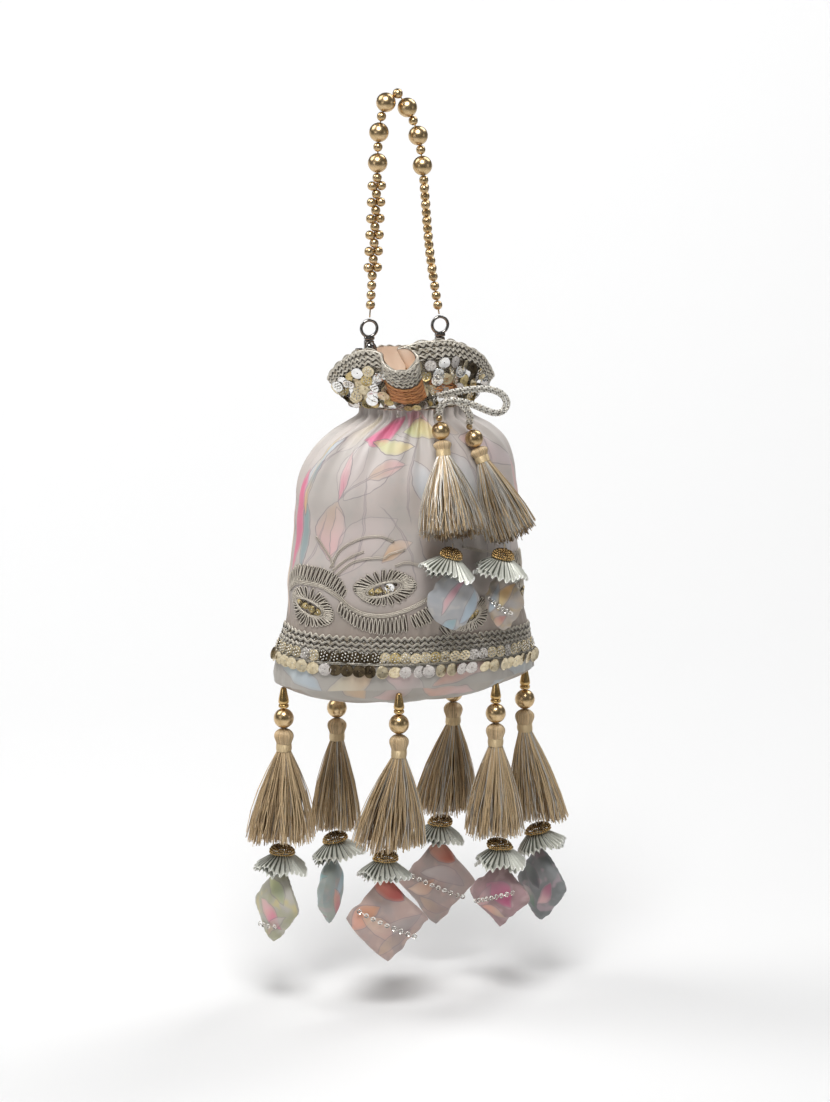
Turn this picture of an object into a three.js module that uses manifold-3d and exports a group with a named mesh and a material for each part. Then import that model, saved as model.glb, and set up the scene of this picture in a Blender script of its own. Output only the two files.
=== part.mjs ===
// A potli: a small gathered evening bag that hangs from a short loop of beads.
// Millimetres, +Z up. The bag's width runs along X, its front faces -Y, and the
// origin is inside the top of the bead loop, where a finger or a hook bears.
// From top to bottom: bead strand, two snap hooks, ruffled collar, cinched neck,
// bag body with a trimmed hem, and six tassel strands that hang from the base seam.

import * as THREE from 'three';
import { mergeVertices } from 'three/addons/utils/BufferGeometryUtils.js';
import Module from 'manifold-3d';

const wasm = await Module();
wasm.setup();

// ---------------------------------------------------------------- driving sizes

const GAP = 0.3; // clearance left between pieces that meet
const CENTRE_X = 6; // the bag's own middle; the handle's top is a little to its left

const CLOTH = 2.2; // padded outer cloth
const SEAM_Z = -372.6; // where the body meets its base panel
const NECK_Z = -196; // top of the casing that the drawstring runs in
const COLLAR_TOP_Z = -162; // mean height of the ruffle's edge
const COLLAR_DROOP = 14; // how much lower the edge sits at the two sides
const COLLAR_LEAN = 4; // the edge rises front right and back left
const COLLAR_FOLDS = 8;
const COLLAR_WAVE = 0.13; // fold height, as a share of the radius

// height, half width and half depth of the body's oval sections
const BODY = [
  [NECK_Z, 34, 26],
  [-204, 34, 26],
  [-211, 48.5, 32],
  [-224, 62.6, 37.5],
  [-243, 71, 41.5],
  [-275, 74, 44],
  [-313, 77.4, 44.5],
  [-332, 79.5, 44],
  [-348, 83.5, 43],
  [-364, 86.3, 41.5],
  [SEAM_Z, 86, 40],
];
const COLLAR_ROWS = [1, 0.66, 0.33, 0.01]; // rim to neck
const COLLAR_RIM = { width: 54, depth: 38 };
const HEM_TOP_ROW = 7; // the hem trim covers these rows of BODY
const HEM_BOTTOM_ROW = 9;
const SHELL_COLUMNS = 48;
const SEAM_TURN = 0.0015; // half the gap at each side seam, in radians

const BASE_BULGE = 10; // the base panel sags below the seam
const BASE_CLOTH = 2.5;
const LINING_CLOTH = 0.8;
const LINING_GAP = 0.7;
const CASING_ROOM = 3.4; // space for the drawstring inside the casing
const LINING_COLUMNS = 28;
const TRIM = 1.4; // sequin and braid trims

const BIG_BEAD = 6.2; // radii of the handle's beads
const TOP_BEAD = 3.25;
const SMALL_BEAD = 3;
const BEAD_WIRE = 1.1;
const PAIR_SPREAD = 3.05; // each of two side-by-side beads, from the wire
const PAIR_PITCH = 5.15; // from a pair to the next single bead
const PAIRS = 6;

const HANG_Y = -3.5; // the clasps are above the bag's centre of mass
const CLASP_RING = { radius: 5.2, wire: 0.8 };
const CLASP_SIDES = [
  { side: 'left', x: -19, z: -146 },
  { side: 'right', x: 28, z: -146 },
];
const ANCHOR_RING = { radius: 4.3, wire: 0.7 };

const CORD = 1.7; // radius of the braided drawstring
const SEAM_OVAL = { width: 81.7, depth: 38 }; // where the strands are sewn on

// ---------------------------------------------------------------- finishes

function finish(color, roughness, metalness = 0) {
  return () => new THREE.MeshStandardMaterial({ color, roughness, metalness });
}
const printedSatin = finish(0xddd0c8, 0.55);
const peachSatin = finish(0xe9c3a2, 0.5);
const sequinTrim = finish(0xa79a80, 0.35, 0.5);
const pearlGold = finish(0xb98d4f, 0.35, 0.85);
const polishedGold = finish(0xc9a25c, 0.2, 1);
const nickel = finish(0xb9b8b4, 0.2, 1);
const silverBraid = finish(0xa8a08c, 0.5, 0.3);
const silk = finish(0xc3ad8b, 0.6);
const organza = finish(0xaab0a0, 0.6);

// ---------------------------------------------------------------- helpers

const object = new THREE.Group();

function add(parent, name, geometry, makeFinish) {
  const mesh = new THREE.Mesh(geometry, makeFinish());
  mesh.name = name;
  parent.add(mesh);
  return mesh;
}

function placed(x, y, z) {
  const group = new THREE.Group();
  group.position.set(x, y, z);
  object.add(group);
  return group;
}

/** One closed body from points and triangles, its faces turned to point outwards. */
function closedBody(points, triangles) {
  const loose = new THREE.BufferGeometry();
  loose.setAttribute('position', new THREE.Float32BufferAttribute(points.flat(), 3));
  loose.setIndex(triangles.flat());
  const welded = mergeVertices(loose, 1e-4);
  const index = welded.index.array;
  const at = (i) => new THREE.Vector3().fromBufferAttribute(welded.attributes.position, i);
  const kept = [];
  let volume = 0;
  for (let i = 0; i < index.length; i += 3) {
    const [a, b, c] = [index[i], index[i + 1], index[i + 2]];
    if (a === b || b === c || c === a) continue; // collapsed at a pole
    kept.push([a, b, c]);
    volume += at(a).dot(at(b).cross(at(c)));
  }
  welded.setIndex(kept.map(([a, b, c]) => (volume < 0 ? [a, c, b] : [a, b, c])).flat());
  welded.computeVertexNormals();
  return welded;
}

/**
 * The sides of a wall whose cross-section changes with the angle. The outline goes down one
 * face and up the other, and both faces fold along the same diagonals, so they stay parallel.
 */
function wallSides(columns, outlines) {
  const rows = outlines[0].length;
  const triangles = [];
  for (let c = 0; c < columns; c++) {
    const here = c * rows;
    const next = ((c + 1) % outlines.length) * rows;
    for (let r = 0; r < rows; r++) {
      const on = (r + 1) % rows;
      if (r < rows / 2) triangles.push([here + r, next + r, here + on], [here + on, next + r, next + on]);
      else triangles.push([here + r, next + r, next + on], [here + r, next + on, here + on]);
    }
  }
  return triangles;
}

/** A wall that goes all the way round. */
function sweptRing(columns, outlineAt) {
  const outlines = Array.from({ length: columns }, (_, c) => outlineAt((2 * Math.PI * c) / columns));
  return closedBody(outlines.flat(), wallSides(columns, outlines));
}

/** A wall between two angles, closed at both ends. */
function sweptPanel(columns, from, to, outlineAt) {
  const outlines = Array.from({ length: columns + 1 }, (_, c) =>
    outlineAt(from + ((to - from) * c) / columns),
  );
  const rows = outlines[0].length;
  const triangles = wallSides(columns, outlines);
  const last = columns * rows;
  for (let r = 0; r < rows / 2 - 1; r++) {
    const facing = rows - 1 - r;
    for (const [a, b, c] of [[r, r + 1, facing], [r + 1, facing - 1, facing]]) {
      triangles.push([a, b, c], [last + a, last + c, last + b]);
    }
  }
  return closedBody(outlines.flat(), triangles);
}

/** A turned piece with a bore, from [radius, height] points of a closed outline. */
function turned(outline, segments) {
  const points = [...outline, outline[0]].map(([r, z]) => new THREE.Vector2(r, z));
  const lathe = new THREE.LatheGeometry(points, segments);
  lathe.rotateX(Math.PI / 2);
  return closedBody(pointsOf(lathe), trianglesOf(lathe));
}

function pointsOf(geometry) {
  const { array, count } = geometry.attributes.position;
  return Array.from({ length: count }, (_, i) => Array.from(array.slice(3 * i, 3 * i + 3)));
}

function trianglesOf(geometry) {
  const index = geometry.index ? Array.from(geometry.index.array) : pointsOf(geometry).map((_, i) => i);
  return Array.from({ length: index.length / 3 }, (_, t) => index.slice(3 * t, 3 * t + 3));
}

/** A round tube along a curve, as many sides and steps as asked. */
function tube(curve, radius, sides, steps) {
  const section = new THREE.Shape(
    Array.from({ length: sides }, (_, i) => {
      const turn = (2 * Math.PI * i) / sides;
      return new THREE.Vector2(radius * Math.cos(turn), radius * Math.sin(turn));
    }),
  );
  return new THREE.ExtrudeGeometry(section, { extrudePath: curve, steps, bevelEnabled: false });
}

function toSolid(geometry) {
  const body = closedBody(pointsOf(geometry), trianglesOf(geometry));
  return new wasm.Manifold(
    new wasm.Mesh({
      numProp: 3,
      vertProperties: new Float32Array(body.attributes.position.array),
      triVerts: new Uint32Array(body.index.array),
    }),
  );
}

function fromSolid(solid) {
  const mesh = solid.getMesh();
  const geometry = new THREE.BufferGeometry();
  geometry.setAttribute('position', new THREE.BufferAttribute(mesh.vertProperties, 3));
  geometry.setIndex(new THREE.BufferAttribute(mesh.triVerts, 1));
  geometry.computeVertexNormals();
  return geometry;
}

function joined(geometries) {
  return geometries.map(toSolid).reduce((whole, piece) => whole.add(piece));
}

function box(width, depth, height, x, y, z) {
  return new THREE.BoxGeometry(width, depth, height).translate(x, y, z);
}

/** A smooth curve through [x, y, z] points. */
function through(points) {
  return new THREE.CatmullRomCurve3(points.map((p) => new THREE.Vector3(...p)));
}

// ---------------------------------------------------------------- the bag

/** A point of the body's oval at a row of BODY, moved outwards by the offset. */
function bodyPoint(row, angle, offset) {
  const [z, width, depth] = BODY[row];
  return [
    CENTRE_X + (width + offset) * Math.cos(angle),
    -(depth + offset) * Math.sin(angle),
    z,
  ];
}

/** A point of the ruffled collar: rise is 0 at the neck and 1 at the edge. */
function collarPoint(rise, angle, offset) {
  const [, neckWidth, neckDepth] = BODY[0];
  const wave = 1 + COLLAR_WAVE * rise * Math.cos(COLLAR_FOLDS * angle);
  const width = (neckWidth + (COLLAR_RIM.width - neckWidth) * rise) * wave + offset;
  const depth = (neckDepth + (COLLAR_RIM.depth - neckDepth) * rise) * wave + offset;
  const edge =
    COLLAR_TOP_Z - COLLAR_DROOP * Math.cos(angle) ** 2 + COLLAR_LEAN * Math.sin(2 * angle);
  return [
    CENTRE_X + width * Math.cos(angle),
    -depth * Math.sin(angle),
    NECK_Z + (edge - NECK_Z) * rise,
  ];
}

/** The ruffled collar above the casing. */
function collar() {
  const wall = (angle, offset) => COLLAR_ROWS.map((rise) => collarPoint(rise, angle, offset));
  return sweptRing(SHELL_COLUMNS, (angle) => [
    ...wall(angle, 0),
    ...wall(angle, -CLOTH).reverse(),
  ]);
}

/** One half of the pouch, from side seam to side seam, with its half of the casing. */
function pouchPanel(from) {
  const wall = (angle, offset) => BODY.map((_, row) => bodyPoint(row, angle, offset));
  const [start, end] = [from + SEAM_TURN, from + Math.PI - SEAM_TURN];
  return sweptPanel(SHELL_COLUMNS / 2, start, end, (angle) => [
    ...wall(angle, 0),
    ...wall(angle, -CLOTH).reverse(),
  ]);
}

/** The oval base, a shallow dish sewn to the body's lower edge. */
function basePanel() {
  const [, width, depth] = BODY[BODY.length - 1];
  const rim = width - CLOTH - GAP;
  const dish = [
    [0, -BASE_BULGE],
    [0.5 * rim, -0.88 * BASE_BULGE],
    [0.85 * rim, -0.5 * BASE_BULGE],
    [rim, 0],
    [rim - BASE_CLOTH, 1],
    [0.8 * rim, BASE_CLOTH - 0.5 * BASE_BULGE],
    [0.48 * rim, BASE_CLOTH - 0.88 * BASE_BULGE],
    [0, BASE_CLOTH - BASE_BULGE],
  ].map(([r, z]) => new THREE.Vector2(r, z));
  const lathe = new THREE.LatheGeometry(dish, LINING_COLUMNS);
  lathe.rotateX(Math.PI / 2);
  lathe.scale(1, (depth - CLOTH - GAP) / rim, 1);
  lathe.translate(CENTRE_X, 0, SEAM_Z);
  return closedBody(pointsOf(lathe), trianglesOf(lathe));
}

/** The inner pouch: a bag in the bag, from the casing down to a floor above the base. */
function lining() {
  const floor = SEAM_Z + BASE_CLOTH - BASE_BULGE + 2 * LINING_GAP;
  const side = (angle, cloth) => {
    const casing = -(CLOTH + CASING_ROOM) - cloth;
    const below = -(CLOTH + LINING_GAP) - cloth;
    const walls = BODY.map((_, row) => bodyPoint(row, angle, row < 2 ? casing : below));
    const corner = bodyPoint(BODY.length - 1, angle, below - 4);
    corner[2] += 2.2 + cloth;
    const middle = [0.5 * (corner[0] - CENTRE_X) + CENTRE_X, 0.5 * corner[1], floor + 1.4 + cloth];
    return [...walls.slice(0, -1), corner, middle, [CENTRE_X, 0, floor + cloth]];
  };
  return sweptRing(LINING_COLUMNS, (angle) => [
    ...side(angle, 0),
    ...side(angle, LINING_CLOTH).reverse(),
  ]);
}

/** A trim sewn round the body over the given rows. */
function hemTrim() {
  const rows = [];
  for (let row = HEM_TOP_ROW; row <= HEM_BOTTOM_ROW; row++) rows.push(row);
  return sweptRing(SHELL_COLUMNS, (angle) => [
    ...rows.map((row) => bodyPoint(row, angle, GAP + TRIM + 0.1)),
    ...rows.map((row) => bodyPoint(row, angle, GAP + 0.1)).reverse(),
  ]);
}

/** The braid and sequins on the ruffle's edge. */
function rimTrim() {
  const [edge, below] = COLLAR_ROWS;
  return sweptRing(SHELL_COLUMNS, (angle) => [
    collarPoint(edge, angle, GAP + TRIM + 0.2),
    collarPoint(below, angle, GAP + TRIM + 0.2),
    collarPoint(below, angle, GAP + 0.2),
    collarPoint(edge, angle, GAP + 0.2),
  ]);
}

/** The part of the drawstring that is hidden in the casing round the neck. */
function cordInCasing() {
  const [, width, depth] = BODY[1];
  const inset = CLOTH + CASING_ROOM / 2;
  const radius = CASING_ROOM / 2 - GAP - 0.1;
  const sides = 5;
  return sweptRing(LINING_COLUMNS, (angle) =>
    Array.from({ length: sides }, (_, i) => {
      const turn = (2 * Math.PI * i) / sides;
      const out = -inset + radius * Math.cos(turn);
      return [
        CENTRE_X + (width + out) * Math.cos(angle),
        -(depth + out) * Math.sin(angle),
        -200.5 + radius * Math.sin(turn),
      ];
    }),
  );
}

add(object, 'pouch_front', pouchPanel(0), printedSatin);
add(object, 'pouch_back', pouchPanel(Math.PI), printedSatin);
add(object, 'collar', collar(), printedSatin);
add(object, 'base_panel', basePanel(), printedSatin);
add(object, 'lining', lining(), peachSatin);
add(object, 'hem_trim', hemTrim(), sequinTrim);
add(object, 'rim_trim', rimTrim(), sequinTrim);
add(object, 'drawstring_in_casing', cordInCasing(), silverBraid);

// ---------------------------------------------------------------- the handle

/** A bead; large ones are rounder. */
function bead(radius, at) {
  const [around, up] = radius > 2 * TOP_BEAD - 1 ? [8, 6] : [5, 4];
  return new THREE.SphereGeometry(radius, around, up).rotateX(Math.PI / 2).translate(at.x, at.y, at.z);
}

/** One leg's beads, from the top down: bigs with spacers, pairs and singles, then singles. */
function legBeads(curve, firstBig, lastSingles, pairTurn) {
  const length = curve.getLength();
  const at = (distance) => curve.getPointAt(Math.min(1, distance / length));
  const beads = [];
  let distance = firstBig;
  for (let i = 0; i < 3; i++) {
    beads.push(bead(BIG_BEAD, at(distance)));
    beads.push(bead(SMALL_BEAD, at(distance + BIG_BEAD + SMALL_BEAD)));
    distance += 2 * (BIG_BEAD + SMALL_BEAD) + 0.8;
  }
  distance += -BIG_BEAD - SMALL_BEAD - 0.8 + PAIR_PITCH;
  for (let i = 0; i < PAIRS; i++) {
    for (const side of [-1, 1]) {
      const middle = at(distance);
      middle.x += side * PAIR_SPREAD * Math.cos(pairTurn);
      middle.y += side * PAIR_SPREAD * Math.sin(pairTurn);
      beads.push(bead(SMALL_BEAD, middle));
    }
    beads.push(bead(SMALL_BEAD, at(distance + PAIR_PITCH)));
    distance += 2 * PAIR_PITCH;
  }
  for (let i = 0; i < lastSingles; i++) {
    beads.push(bead(SMALL_BEAD, at(distance + 1 + i * (2 * SMALL_BEAD + 0.2))));
  }
  return beads;
}

function beadStrand() {
  const left = through([
    [0, HANG_Y, 1.3], [-8, HANG_Y, -4.6], [-12.4, HANG_Y, -23.4], [-13.4, HANG_Y, -48],
    [-15.6, HANG_Y, -92], [-18.6, HANG_Y, -139],
  ]);
  const right = through([
    [0, HANG_Y, 1.3], [6.4, HANG_Y, -7.8], [13.7, HANG_Y, -26.5], [17, HANG_Y, -52],
    [21, HANG_Y, -98], [27.4, HANG_Y, -139],
  ]);
  return joined([
    tube(left, BEAD_WIRE, 4, 11),
    tube(right, BEAD_WIRE, 4, 11),
    bead(TOP_BEAD, new THREE.Vector3(0, HANG_Y, 1.3)),
    ...legBeads(left, 9.5, 3, 0),
    ...legBeads(right, 11, 3, (70 * Math.PI) / 180),
  ]);
}

add(object, 'bead_strand', fromSolid(beadStrand()), pearlGold);

// ---------------------------------------------------------------- the clasps

const POST = { radius: 0.9, head: 1.7 };
const EYE_BASE = { width: 6.4, depth: 3, height: 2 };
const HOOK = { wire: 1.2, bridge: 2.6, width: 3.9, length: 20 };
const eyeBaseZ = -(CLASP_RING.radius + EYE_BASE.height / 2);
const bridgeTop = eyeBaseZ - EYE_BASE.height / 2 - GAP;
const bridgeBottom = bridgeTop - HOOK.bridge;
const hookFloor = bridgeTop - HOOK.length; // middle of the wire at the hook's lowest point
const PIVOT = { x: -HOOK.width, z: bridgeBottom - 2.4 };
const hookTipZ = hookFloor + 5.5;

/** Ring, base bar and rivet: the upper half of the clasp, which the hook turns on. */
function swivelRing() {
  const ring = new THREE.TorusGeometry(CLASP_RING.radius, CLASP_RING.wire, 5, 14);
  const base = box(EYE_BASE.width, EYE_BASE.depth, EYE_BASE.height, 0, 0, eyeBaseZ);
  const postLength = HOOK.bridge + 3 * GAP + 1.4;
  const post = new THREE.CylinderGeometry(POST.radius, POST.radius, postLength, 8);
  const head = new THREE.CylinderGeometry(POST.head, POST.head, 1, 8);
  return joined([
    ring.rotateX(Math.PI / 2),
    base,
    post.rotateX(Math.PI / 2).translate(0, 0, bridgeTop + GAP - postLength / 2 + 0.5),
    head.rotateX(Math.PI / 2).translate(0, 0, bridgeBottom - GAP - 0.5),
  ]);
}

/** The hook: a bored bridge on top and a wire that goes down the right and round to a tip. */
function snapHook() {
  const wire = through([
    [1.2, 0, bridgeBottom + 0.8],
    [3.4, 0, bridgeBottom - 1.6],
    [HOOK.width, 0, bridgeBottom - 6],
    [HOOK.width, 0, hookFloor + 4],
    [2.6, 0, hookFloor + 0.9],
    [0, 0, hookFloor],
    [-2.6, 0, hookFloor + 0.9],
    [-HOOK.width, 0, hookFloor + 3.4],
    [-HOOK.width, 0, hookTipZ],
  ]);
  const bridge = box(5.6, 3, HOOK.bridge, -0.2, 0, bridgeTop - HOOK.bridge / 2);
  const cheek = box(1.6, 2.4, 3.4, -2.4, 0, bridgeBottom - 0.9);
  const bore = new THREE.CylinderGeometry(POST.radius + GAP, POST.radius + GAP, 6, 8)
    .rotateX(Math.PI / 2)
    .translate(0, 0, bridgeTop - HOOK.bridge / 2);
  const room = new THREE.CylinderGeometry(POST.head + GAP, POST.head + GAP, 2.2, 8)
    .rotateX(Math.PI / 2)
    .translate(0, 0, bridgeBottom - 1.1);
  return joined([tube(wire, HOOK.wire, 6, 16), bridge, cheek])
    .subtract(toSolid(bore))
    .subtract(toSolid(room));
}

/** The spring gate that closes the hook, with the stud that a thumb pulls. */
function snapLever() {
  const arm = box(1.6, 1.8, PIVOT.z - hookTipZ - GAP, PIVOT.x - 0.4, 0, (PIVOT.z + hookTipZ + GAP) / 2);
  const stud = box(4.6, 1.6, 1.6, PIVOT.x - 3, 0, PIVOT.z - 0.6);
  return joined([arm, stud]);
}

for (const { side, x, z } of CLASP_SIDES) {
  const clasp = placed(x, HANG_Y, z);
  add(clasp, `swivel_ring_${side}`, fromSolid(swivelRing()), nickel);
  add(clasp, `snap_hook_${side}`, fromSolid(snapHook()), nickel);
  add(clasp, `snap_lever_${side}`, fromSolid(snapLever()), nickel);

  // the bag's own loop: a wire ring on the hook, held by a folded tab of cloth
  const outwards = side === 'left' ? -1 : 1;
  const ringMiddle = hookFloor + HOOK.wire + GAP + ANCHOR_RING.wire - ANCHOR_RING.radius;
  const ring = new THREE.TorusGeometry(ANCHOR_RING.radius, ANCHOR_RING.wire, 5, 14);
  const anchor = add(clasp, `anchor_ring_${side}`, ring.rotateY(Math.PI / 2), nickel);
  anchor.position.set(0, 0, ringMiddle);

  const wireHole = ANCHOR_RING.wire + 2 * GAP;
  const strap = new THREE.Shape();
  strap.moveTo(-wireHole - 0.9, 0);
  strap.absarc(0, 0, wireHole + 0.9, Math.PI, 0, true);
  strap.lineTo(outwards * 4 + 1.3, -7);
  strap.lineTo(outwards * 4 - 1.3, -7);
  strap.closePath();
  const eye = new THREE.Path();
  eye.absarc(0, 0, wireHole, 0, 2 * Math.PI, false);
  strap.holes.push(eye);
  const tab = new THREE.ExtrudeGeometry(strap, { depth: 3, bevelEnabled: false, curveSegments: 5 });
  tab.translate(0, 0, -1.5).rotateX(Math.PI / 2);
  const folded = add(clasp, `anchor_tab_${side}`, tab, peachSatin);
  folded.position.set(0, 0, ringMiddle - ANCHOR_RING.radius);
}

// ---------------------------------------------------------------- tassels and charms

const BORE = 0.8; // the sewing thread's way through each piece of a strand
const FINIAL = [[BORE, -0.4], [1.9, -0.4], [3.4, -8.4], [3.4, -10.6], [2.4, -11.2], [3.4, -11.8],
  [3.4, -13.6], [BORE, -13.6]];

function ball(radius, drop) {
  const outline = [[BORE, radius], [0.6 * radius, 0.8 * radius], [radius, 0.25 * radius],
    [radius, -0.25 * radius], [0.6 * radius, -0.8 * radius], [BORE, -radius]];
  return turned(outline.map(([r, z]) => [r, z - drop]), 10);
}

/** Folded silk: a round head, a wrapped neck and a skirt that widens downwards. */
function tassel(top, headRadius, wrapTop, wrapBottom, bottom, skirt) {
  const fall = bottom - wrapBottom;
  return turned([
    [BORE, -top],
    [0.7 * headRadius, -top],
    [headRadius, -(top + wrapTop) / 2],
    [0.76 * headRadius, -wrapTop],
    [0.76 * headRadius, -wrapBottom],
    [0.42 * skirt, -(wrapBottom + 0.22 * fall)],
    [0.78 * skirt, -(wrapBottom + 0.62 * fall)],
    [skirt, -bottom],
    [BORE, -bottom],
  ], 10);
}

/** A beaded cap over a stiff pleated frill, open below. */
function frill(top, radius) {
  return turned([
    [BORE, -top],
    [0.3 * radius, -top - 0.4],
    [0.52 * radius, -top - 4],
    [0.56 * radius, -top - 6.5],
    [radius, -top - 13],
    [0.9 * radius, -top - 18],
    [0.55 * radius, -top - 11],
    [BORE, -top - 9],
  ], 10);
}

/** A padded square hung by one corner: half width and half height of its diamond. */
function charm(top, halfWidth, halfHeight, thickness) {
  const steps = 4;
  const points = [];
  const triangles = [];
  for (const side of [-1, 1]) {
    const first = points.length;
    for (let i = 0; i <= steps; i++) {
      for (let j = 0; j <= steps; j++) {
        const [u, v] = [(2 * i) / steps - 1, (2 * j) / steps - 1];
        const pad = Math.sqrt((1 - u * u) * (1 - v * v));
        points.push([
          ((u - v) / 2) * halfWidth,
          side * 0.5 * thickness * pad,
          ((u + v) / 2) * halfHeight - top - halfHeight,
        ]);
      }
    }
    for (let i = 0; i < steps; i++) {
      for (let j = 0; j < steps; j++) {
        const a = first + i * (steps + 1) + j;
        const quad = [a, a + steps + 1, a + steps + 2, a + 1];
        if (side > 0) quad.reverse();
        triangles.push([quad[0], quad[1], quad[2]], [quad[0], quad[2], quad[3]]);
      }
    }
  }
  return closedBody(points, triangles);
}

// place round the seam oval in degrees from the right towards the front, drop below the
// seam, skirt radius, the way the charm's diagonal points, and the charm's half sizes
const STRANDS = [
  { name: 'left', place: 180, drop: 0, skirt: 22, facing: -76, half: [24, 24] },
  { name: 'back_left', place: 244, drop: 5, skirt: 16.5, facing: 67, half: [22, 21] },
  { name: 'front', place: 101.5, drop: 0, skirt: 23, facing: -18, half: [26.5, 27.5] },
  { name: 'back_right', place: 302, drop: 0, skirt: 20.5, facing: -12, half: [24, 25.5] },
  { name: 'front_right', place: 51, drop: 0, skirt: 18.5, facing: -70, half: [24, 17.5] },
  { name: 'right', place: 0, drop: 0, skirt: 18.5, facing: -75, half: [22, 21.5] },
];
const BALL_RADIUS = 6.5;
const CHARM_THICKNESS = 16;
const STRAND_TOP = SEAM_Z - 2.4;

for (const { name, place, drop, skirt, facing, half } of STRANDS) {
  const angle = (place * Math.PI) / 180;
  const strand = placed(
    CENTRE_X + SEAM_OVAL.width * Math.cos(angle),
    -SEAM_OVAL.depth * Math.sin(angle),
    STRAND_TOP - drop,
  );
  strand.rotation.z = (facing * Math.PI) / 180;
  add(strand, `finial_${name}`, turned(FINIAL, 8), polishedGold);
  add(strand, `ball_${name}`, ball(BALL_RADIUS, 20.6), pearlGold);
  add(strand, `tassel_${name}`, tassel(27.6, 6, 37, 42, 100, skirt), silk);
  add(strand, `frill_${name}`, frill(104.6, 16.5), organza);
  add(strand, `charm_${name}`, charm(117.6, half[0], half[1], CHARM_THICKNESS), printedSatin);
}

// ---------------------------------------------------------------- drawstring and its ends

// each end: where the cord meets its top bead, where its tassel's middle ends, where its
// charm's thread hangs from, and the charm
const PULLS = [
  {
    name: 'pull_front', top: [16.3, -37, -198.6], bottom: [18.3, -61.5, -273.1],
    skirt: 20, hang: [17.6, -61, -277.5], facing: -8, half: [18.5, 21.5],
  },
  {
    name: 'pull_side', top: [37.9, -31.5, -206.2], bottom: [62.5, -48, -277.5],
    skirt: 15, hang: [54.5, -53, -282], facing: -40, half: [13.5, 21],
  },
];
const PULL_LENGTH = 77;
const PULL_FLATNESS = 0.62; // these tassels lie against the bag
const FRILL_PULL = 14.5;

for (const { name, top, bottom, skirt, hang, facing, half } of PULLS) {
  const strand = placed(...top);
  const down = new THREE.Vector3(...bottom).sub(new THREE.Vector3(...top)).normalize();
  strand.quaternion.setFromUnitVectors(new THREE.Vector3(0, 0, -1), down);
  add(strand, `ball_${name}`, ball(5.8, 9.2), pearlGold);
  const silkPiece = tassel(15.6, 5.6, 21, 25, PULL_LENGTH, skirt);
  silkPiece.scale(1, PULL_FLATNESS, 1);
  add(strand, `tassel_${name}`, silkPiece, silk);

  const below = placed(...hang);
  below.rotation.z = (facing * Math.PI) / 180;
  add(below, `frill_${name}`, frill(1.2, FRILL_PULL), organza);
  add(below, `charm_${name}`, charm(13.4, half[0], half[1], 15), printedSatin);
}

// the free ends of the drawstring, in the order that a hand would follow them
const BOW_END = [
  [17, -32.5, -186], [20, -37.5, -184.5], [26, -42, -182.5], [34, -44.5, -181.2],
  [42, -45, -181], [50, -44, -182.5], [56.5, -42, -186], [60, -41, -191.5],
  [57.5, -41.5, -196.5], [51.5, -43, -197.3], [44, -44.5, -194.5], [36.5, -46, -191],
  [29, -46.5, -188.4], [22, -45, -187.6], [17.6, -41.5, -189.6], [16.4, -38.6, -193.6],
  [16.3, -37.2, -197.6],
];
const SIDE_END = [
  [22.4, -30.5, -188.5], [25.2, -35.2, -188.8], [29.5, -38.6, -190.6], [33.6, -38.8, -194.6],
  [36.6, -37.2, -199], [37.9, -34.6, -202.8], [37.7, -31.8, -205.4],
];

add(object, 'drawstring_front', tube(through(BOW_END), CORD, 8, 22), silverBraid);
add(object, 'drawstring_side', tube(through(SIDE_END), CORD, 8, 7), silverBraid);

export default object;
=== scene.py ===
# %% [markdown]
# # A potli: a gathered evening bag of printed satin
#
# The bag hangs from a loop of gold beads. Its satin body is pulled together at the neck by a
# braided drawstring, above which the cloth opens into a ruffled collar sewn with sequins. Under
# the hem hang six strands of bead, tassel, frill and padded charm, and two shorter ones hang
# from the drawstring's ends.
#
# The lesson goes from what carries the bag to what decorates it. Everything is made in
# millimetres and turned into metres at the last step, because a bag maker thinks in millimetres.

# %% Load the frame
import math
import random

import bpy
import numpy as np
from mathutils import Matrix, Vector


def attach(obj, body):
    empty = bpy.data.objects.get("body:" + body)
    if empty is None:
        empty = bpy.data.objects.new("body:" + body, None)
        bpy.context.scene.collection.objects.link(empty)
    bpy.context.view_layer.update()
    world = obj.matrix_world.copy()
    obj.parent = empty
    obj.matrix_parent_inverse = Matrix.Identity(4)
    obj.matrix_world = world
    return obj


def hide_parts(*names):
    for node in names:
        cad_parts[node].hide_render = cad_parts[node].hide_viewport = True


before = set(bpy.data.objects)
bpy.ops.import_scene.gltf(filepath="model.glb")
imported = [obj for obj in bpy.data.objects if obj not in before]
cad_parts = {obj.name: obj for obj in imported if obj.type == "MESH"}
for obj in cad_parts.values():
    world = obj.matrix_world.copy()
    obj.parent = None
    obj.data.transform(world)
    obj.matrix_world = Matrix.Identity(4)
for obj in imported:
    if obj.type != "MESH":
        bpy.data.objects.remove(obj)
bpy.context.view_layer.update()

MM = 0.001

# %% [markdown]
# ## Where the eye stands
#
# A hanging bag is looked at from a little above its middle and a little to its left, from far
# enough away that near and far tassels keep almost the same size. A long lens does that. The
# camera is set first, because the cords that follow are judged by what it sees.

# %% Camera
AZIMUTH, ELEVATION = math.radians(-18), math.radians(12)
DISTANCE = 2.6
SEEN_HEIGHT = 0.68875  # metres from the top to the bottom of the view
SEEN_CENTRE = (0.0119, -0.285)  # the view's middle, sideways and upwards from the origin

scene = bpy.context.scene
sideways = Vector((math.cos(AZIMUTH), math.sin(AZIMUTH), 0))
backwards = Vector((math.sin(AZIMUTH) * math.cos(ELEVATION),
                    -math.cos(AZIMUTH) * math.cos(ELEVATION), math.sin(ELEVATION)))
upwards = backwards.cross(sideways)
looked_at = sideways * SEEN_CENTRE[0] + upwards * SEEN_CENTRE[1]

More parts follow.
